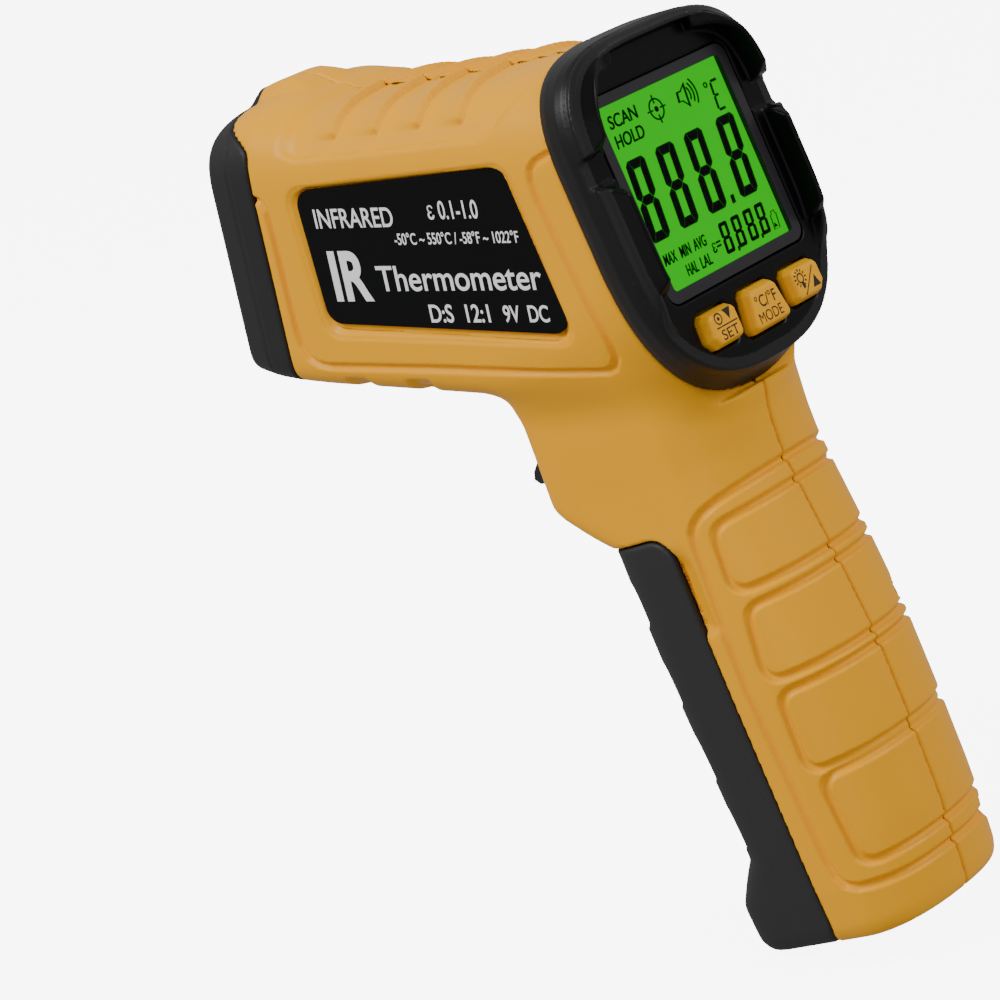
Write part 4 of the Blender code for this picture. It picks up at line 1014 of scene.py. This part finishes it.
def door_detail(gx, y, height):
    """Where the door's mesh is finer: along the ledges."""
    near = np.zeros(gx.shape, bool)
    for low, _ in SCOOPS:
        near |= np.abs(above_ledge(y, height, low) - 0.4) < 1.0
    return near & (gx < -4) & (np.abs(y) < 17.5) & (grip(gx, y, height) > -0.7)


door_shell = moulded("door_shell", door_field, (-19, -18.5, -0.5), (3.5, 18.5, 72.5), 0.5, GRIP,
                     door_shape, door_detail)
dress(door_shell, DOOR_DARK, "door", "battery_door")

# ------------------------------------------------------------------ trigger spring
COIL_TURNS, COIL_STEPS, COIL_RADIUS, WIRE_RADIUS = 5, 24, 1.7, 0.25
COIL_LOW, COIL_HIGH, COIL_X = 92.9, 99.1, 8.4
spring = bpy.data.curves.new("spring", "CURVE")
spring.dimensions = "3D"
spring.bevel_depth, spring.bevel_resolution = WIRE_RADIUS, 3
spring.use_fill_caps = True
line = spring.splines.new("POLY")
line.points.add(COIL_TURNS * COIL_STEPS)
for i, point in enumerate(line.points):
    angle = 2 * math.pi * i / COIL_STEPS
    rise = (COIL_HIGH - COIL_LOW) * i / (COIL_TURNS * COIL_STEPS)
    point.co = (COIL_X + COIL_RADIUS * math.cos(angle), COIL_RADIUS * math.sin(angle), COIL_LOW + rise, 1)
coil = dress(gathered("spring_coil", [solid_of(spring)], WORLD), STEEL, "housing", "trigger_spring")
coil.data.shade_smooth()
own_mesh(coil)

# ------------------------------------------------------------------ camera and light
AZIMUTH, ELEVATION, ROLL = (math.radians(a) for a in (42.0, 16.8, 12.3))
AIM = Vector((-24.65, 0.0, 70.2)) * MM
DISTANCE = 0.6
back = Vector((math.sin(AZIMUTH) * math.cos(ELEVATION), -math.cos(AZIMUTH) * math.cos(ELEVATION),
               math.sin(ELEVATION)))
right = Vector((math.cos(AZIMUTH), math.sin(AZIMUTH), 0))
up = back.cross(right)
camera = bpy.data.objects.new("camera", bpy.data.cameras.new("camera"))
bpy.context.scene.collection.objects.link(camera)
axes = (math.cos(ROLL) * right - math.sin(ROLL) * up, math.sin(ROLL) * right + math.cos(ROLL) * up, back)
camera.matrix_world = Matrix.Translation(AIM + back * DISTANCE) @ Matrix(axes).transposed().to_4x4()
camera.data.lens, camera.data.sensor_width = 129.6, 36.0
camera.data.clip_start = 0.05
bpy.context.scene.camera = camera

FLOOR_GLOW, FLOOR_DROP, SKY = 7.0, 0.0005, 0.44
floor_mesh = bpy.data.meshes.new("floor")
work = bmesh.new()
bmesh.ops.create_grid(work, x_segments=2, y_segments=2, size=6.0)
work.to_mesh(floor_mesh)
work.free()
floor = bpy.data.objects.new("floor", floor_mesh)
bpy.context.scene.collection.objects.link(floor)
floor.location.z = -FLOOR_DROP
floor_look = bpy.data.materials.new("floor")
floor_look.use_nodes = True
floor_shader = floor_look.node_tree.nodes["Principled BSDF"]
floor_shader.inputs["Base Color"].default_value = (0.9, 0.9, 0.9, 1)
floor_shader.inputs["Roughness"].default_value = 0.9
floor_shader.inputs["Emission Color"].default_value = (1, 1, 1, 1)
floor_shader.inputs["Emission Strength"].default_value = FLOOR_GLOW
floor.visible_diffuse = floor.visible_glossy = False
floor_mesh.materials.append(floor_look)

# name, place, size, power
LIGHTS = (("key", (-0.35, -0.75, 0.95), 0.7, 13.5), ("rim", (0.9, 0.5, 0.9), 0.6, 8.0),
          ("fill", (0.9, -0.9, 0.35), 1.0, 2.4))
for name, at, size, power in LIGHTS:
    lamp = bpy.data.objects.new(name, bpy.data.lights.new(name, "AREA"))
    bpy.context.scene.collection.objects.link(lamp)
    lamp.data.size, lamp.data.energy = size, power
    lamp.location = at
    lamp.rotation_euler = (Vector((0, 0, 0.08)) - Vector(at)).to_track_quat("-Z", "Y").to_euler()
world = bpy.data.worlds.new("studio")
bpy.context.scene.world = world
world.use_nodes = True
world.node_tree.nodes["Background"].inputs["Color"].default_value = (1, 1, 1, 1)
world.node_tree.nodes["Background"].inputs["Strength"].default_value = SKY
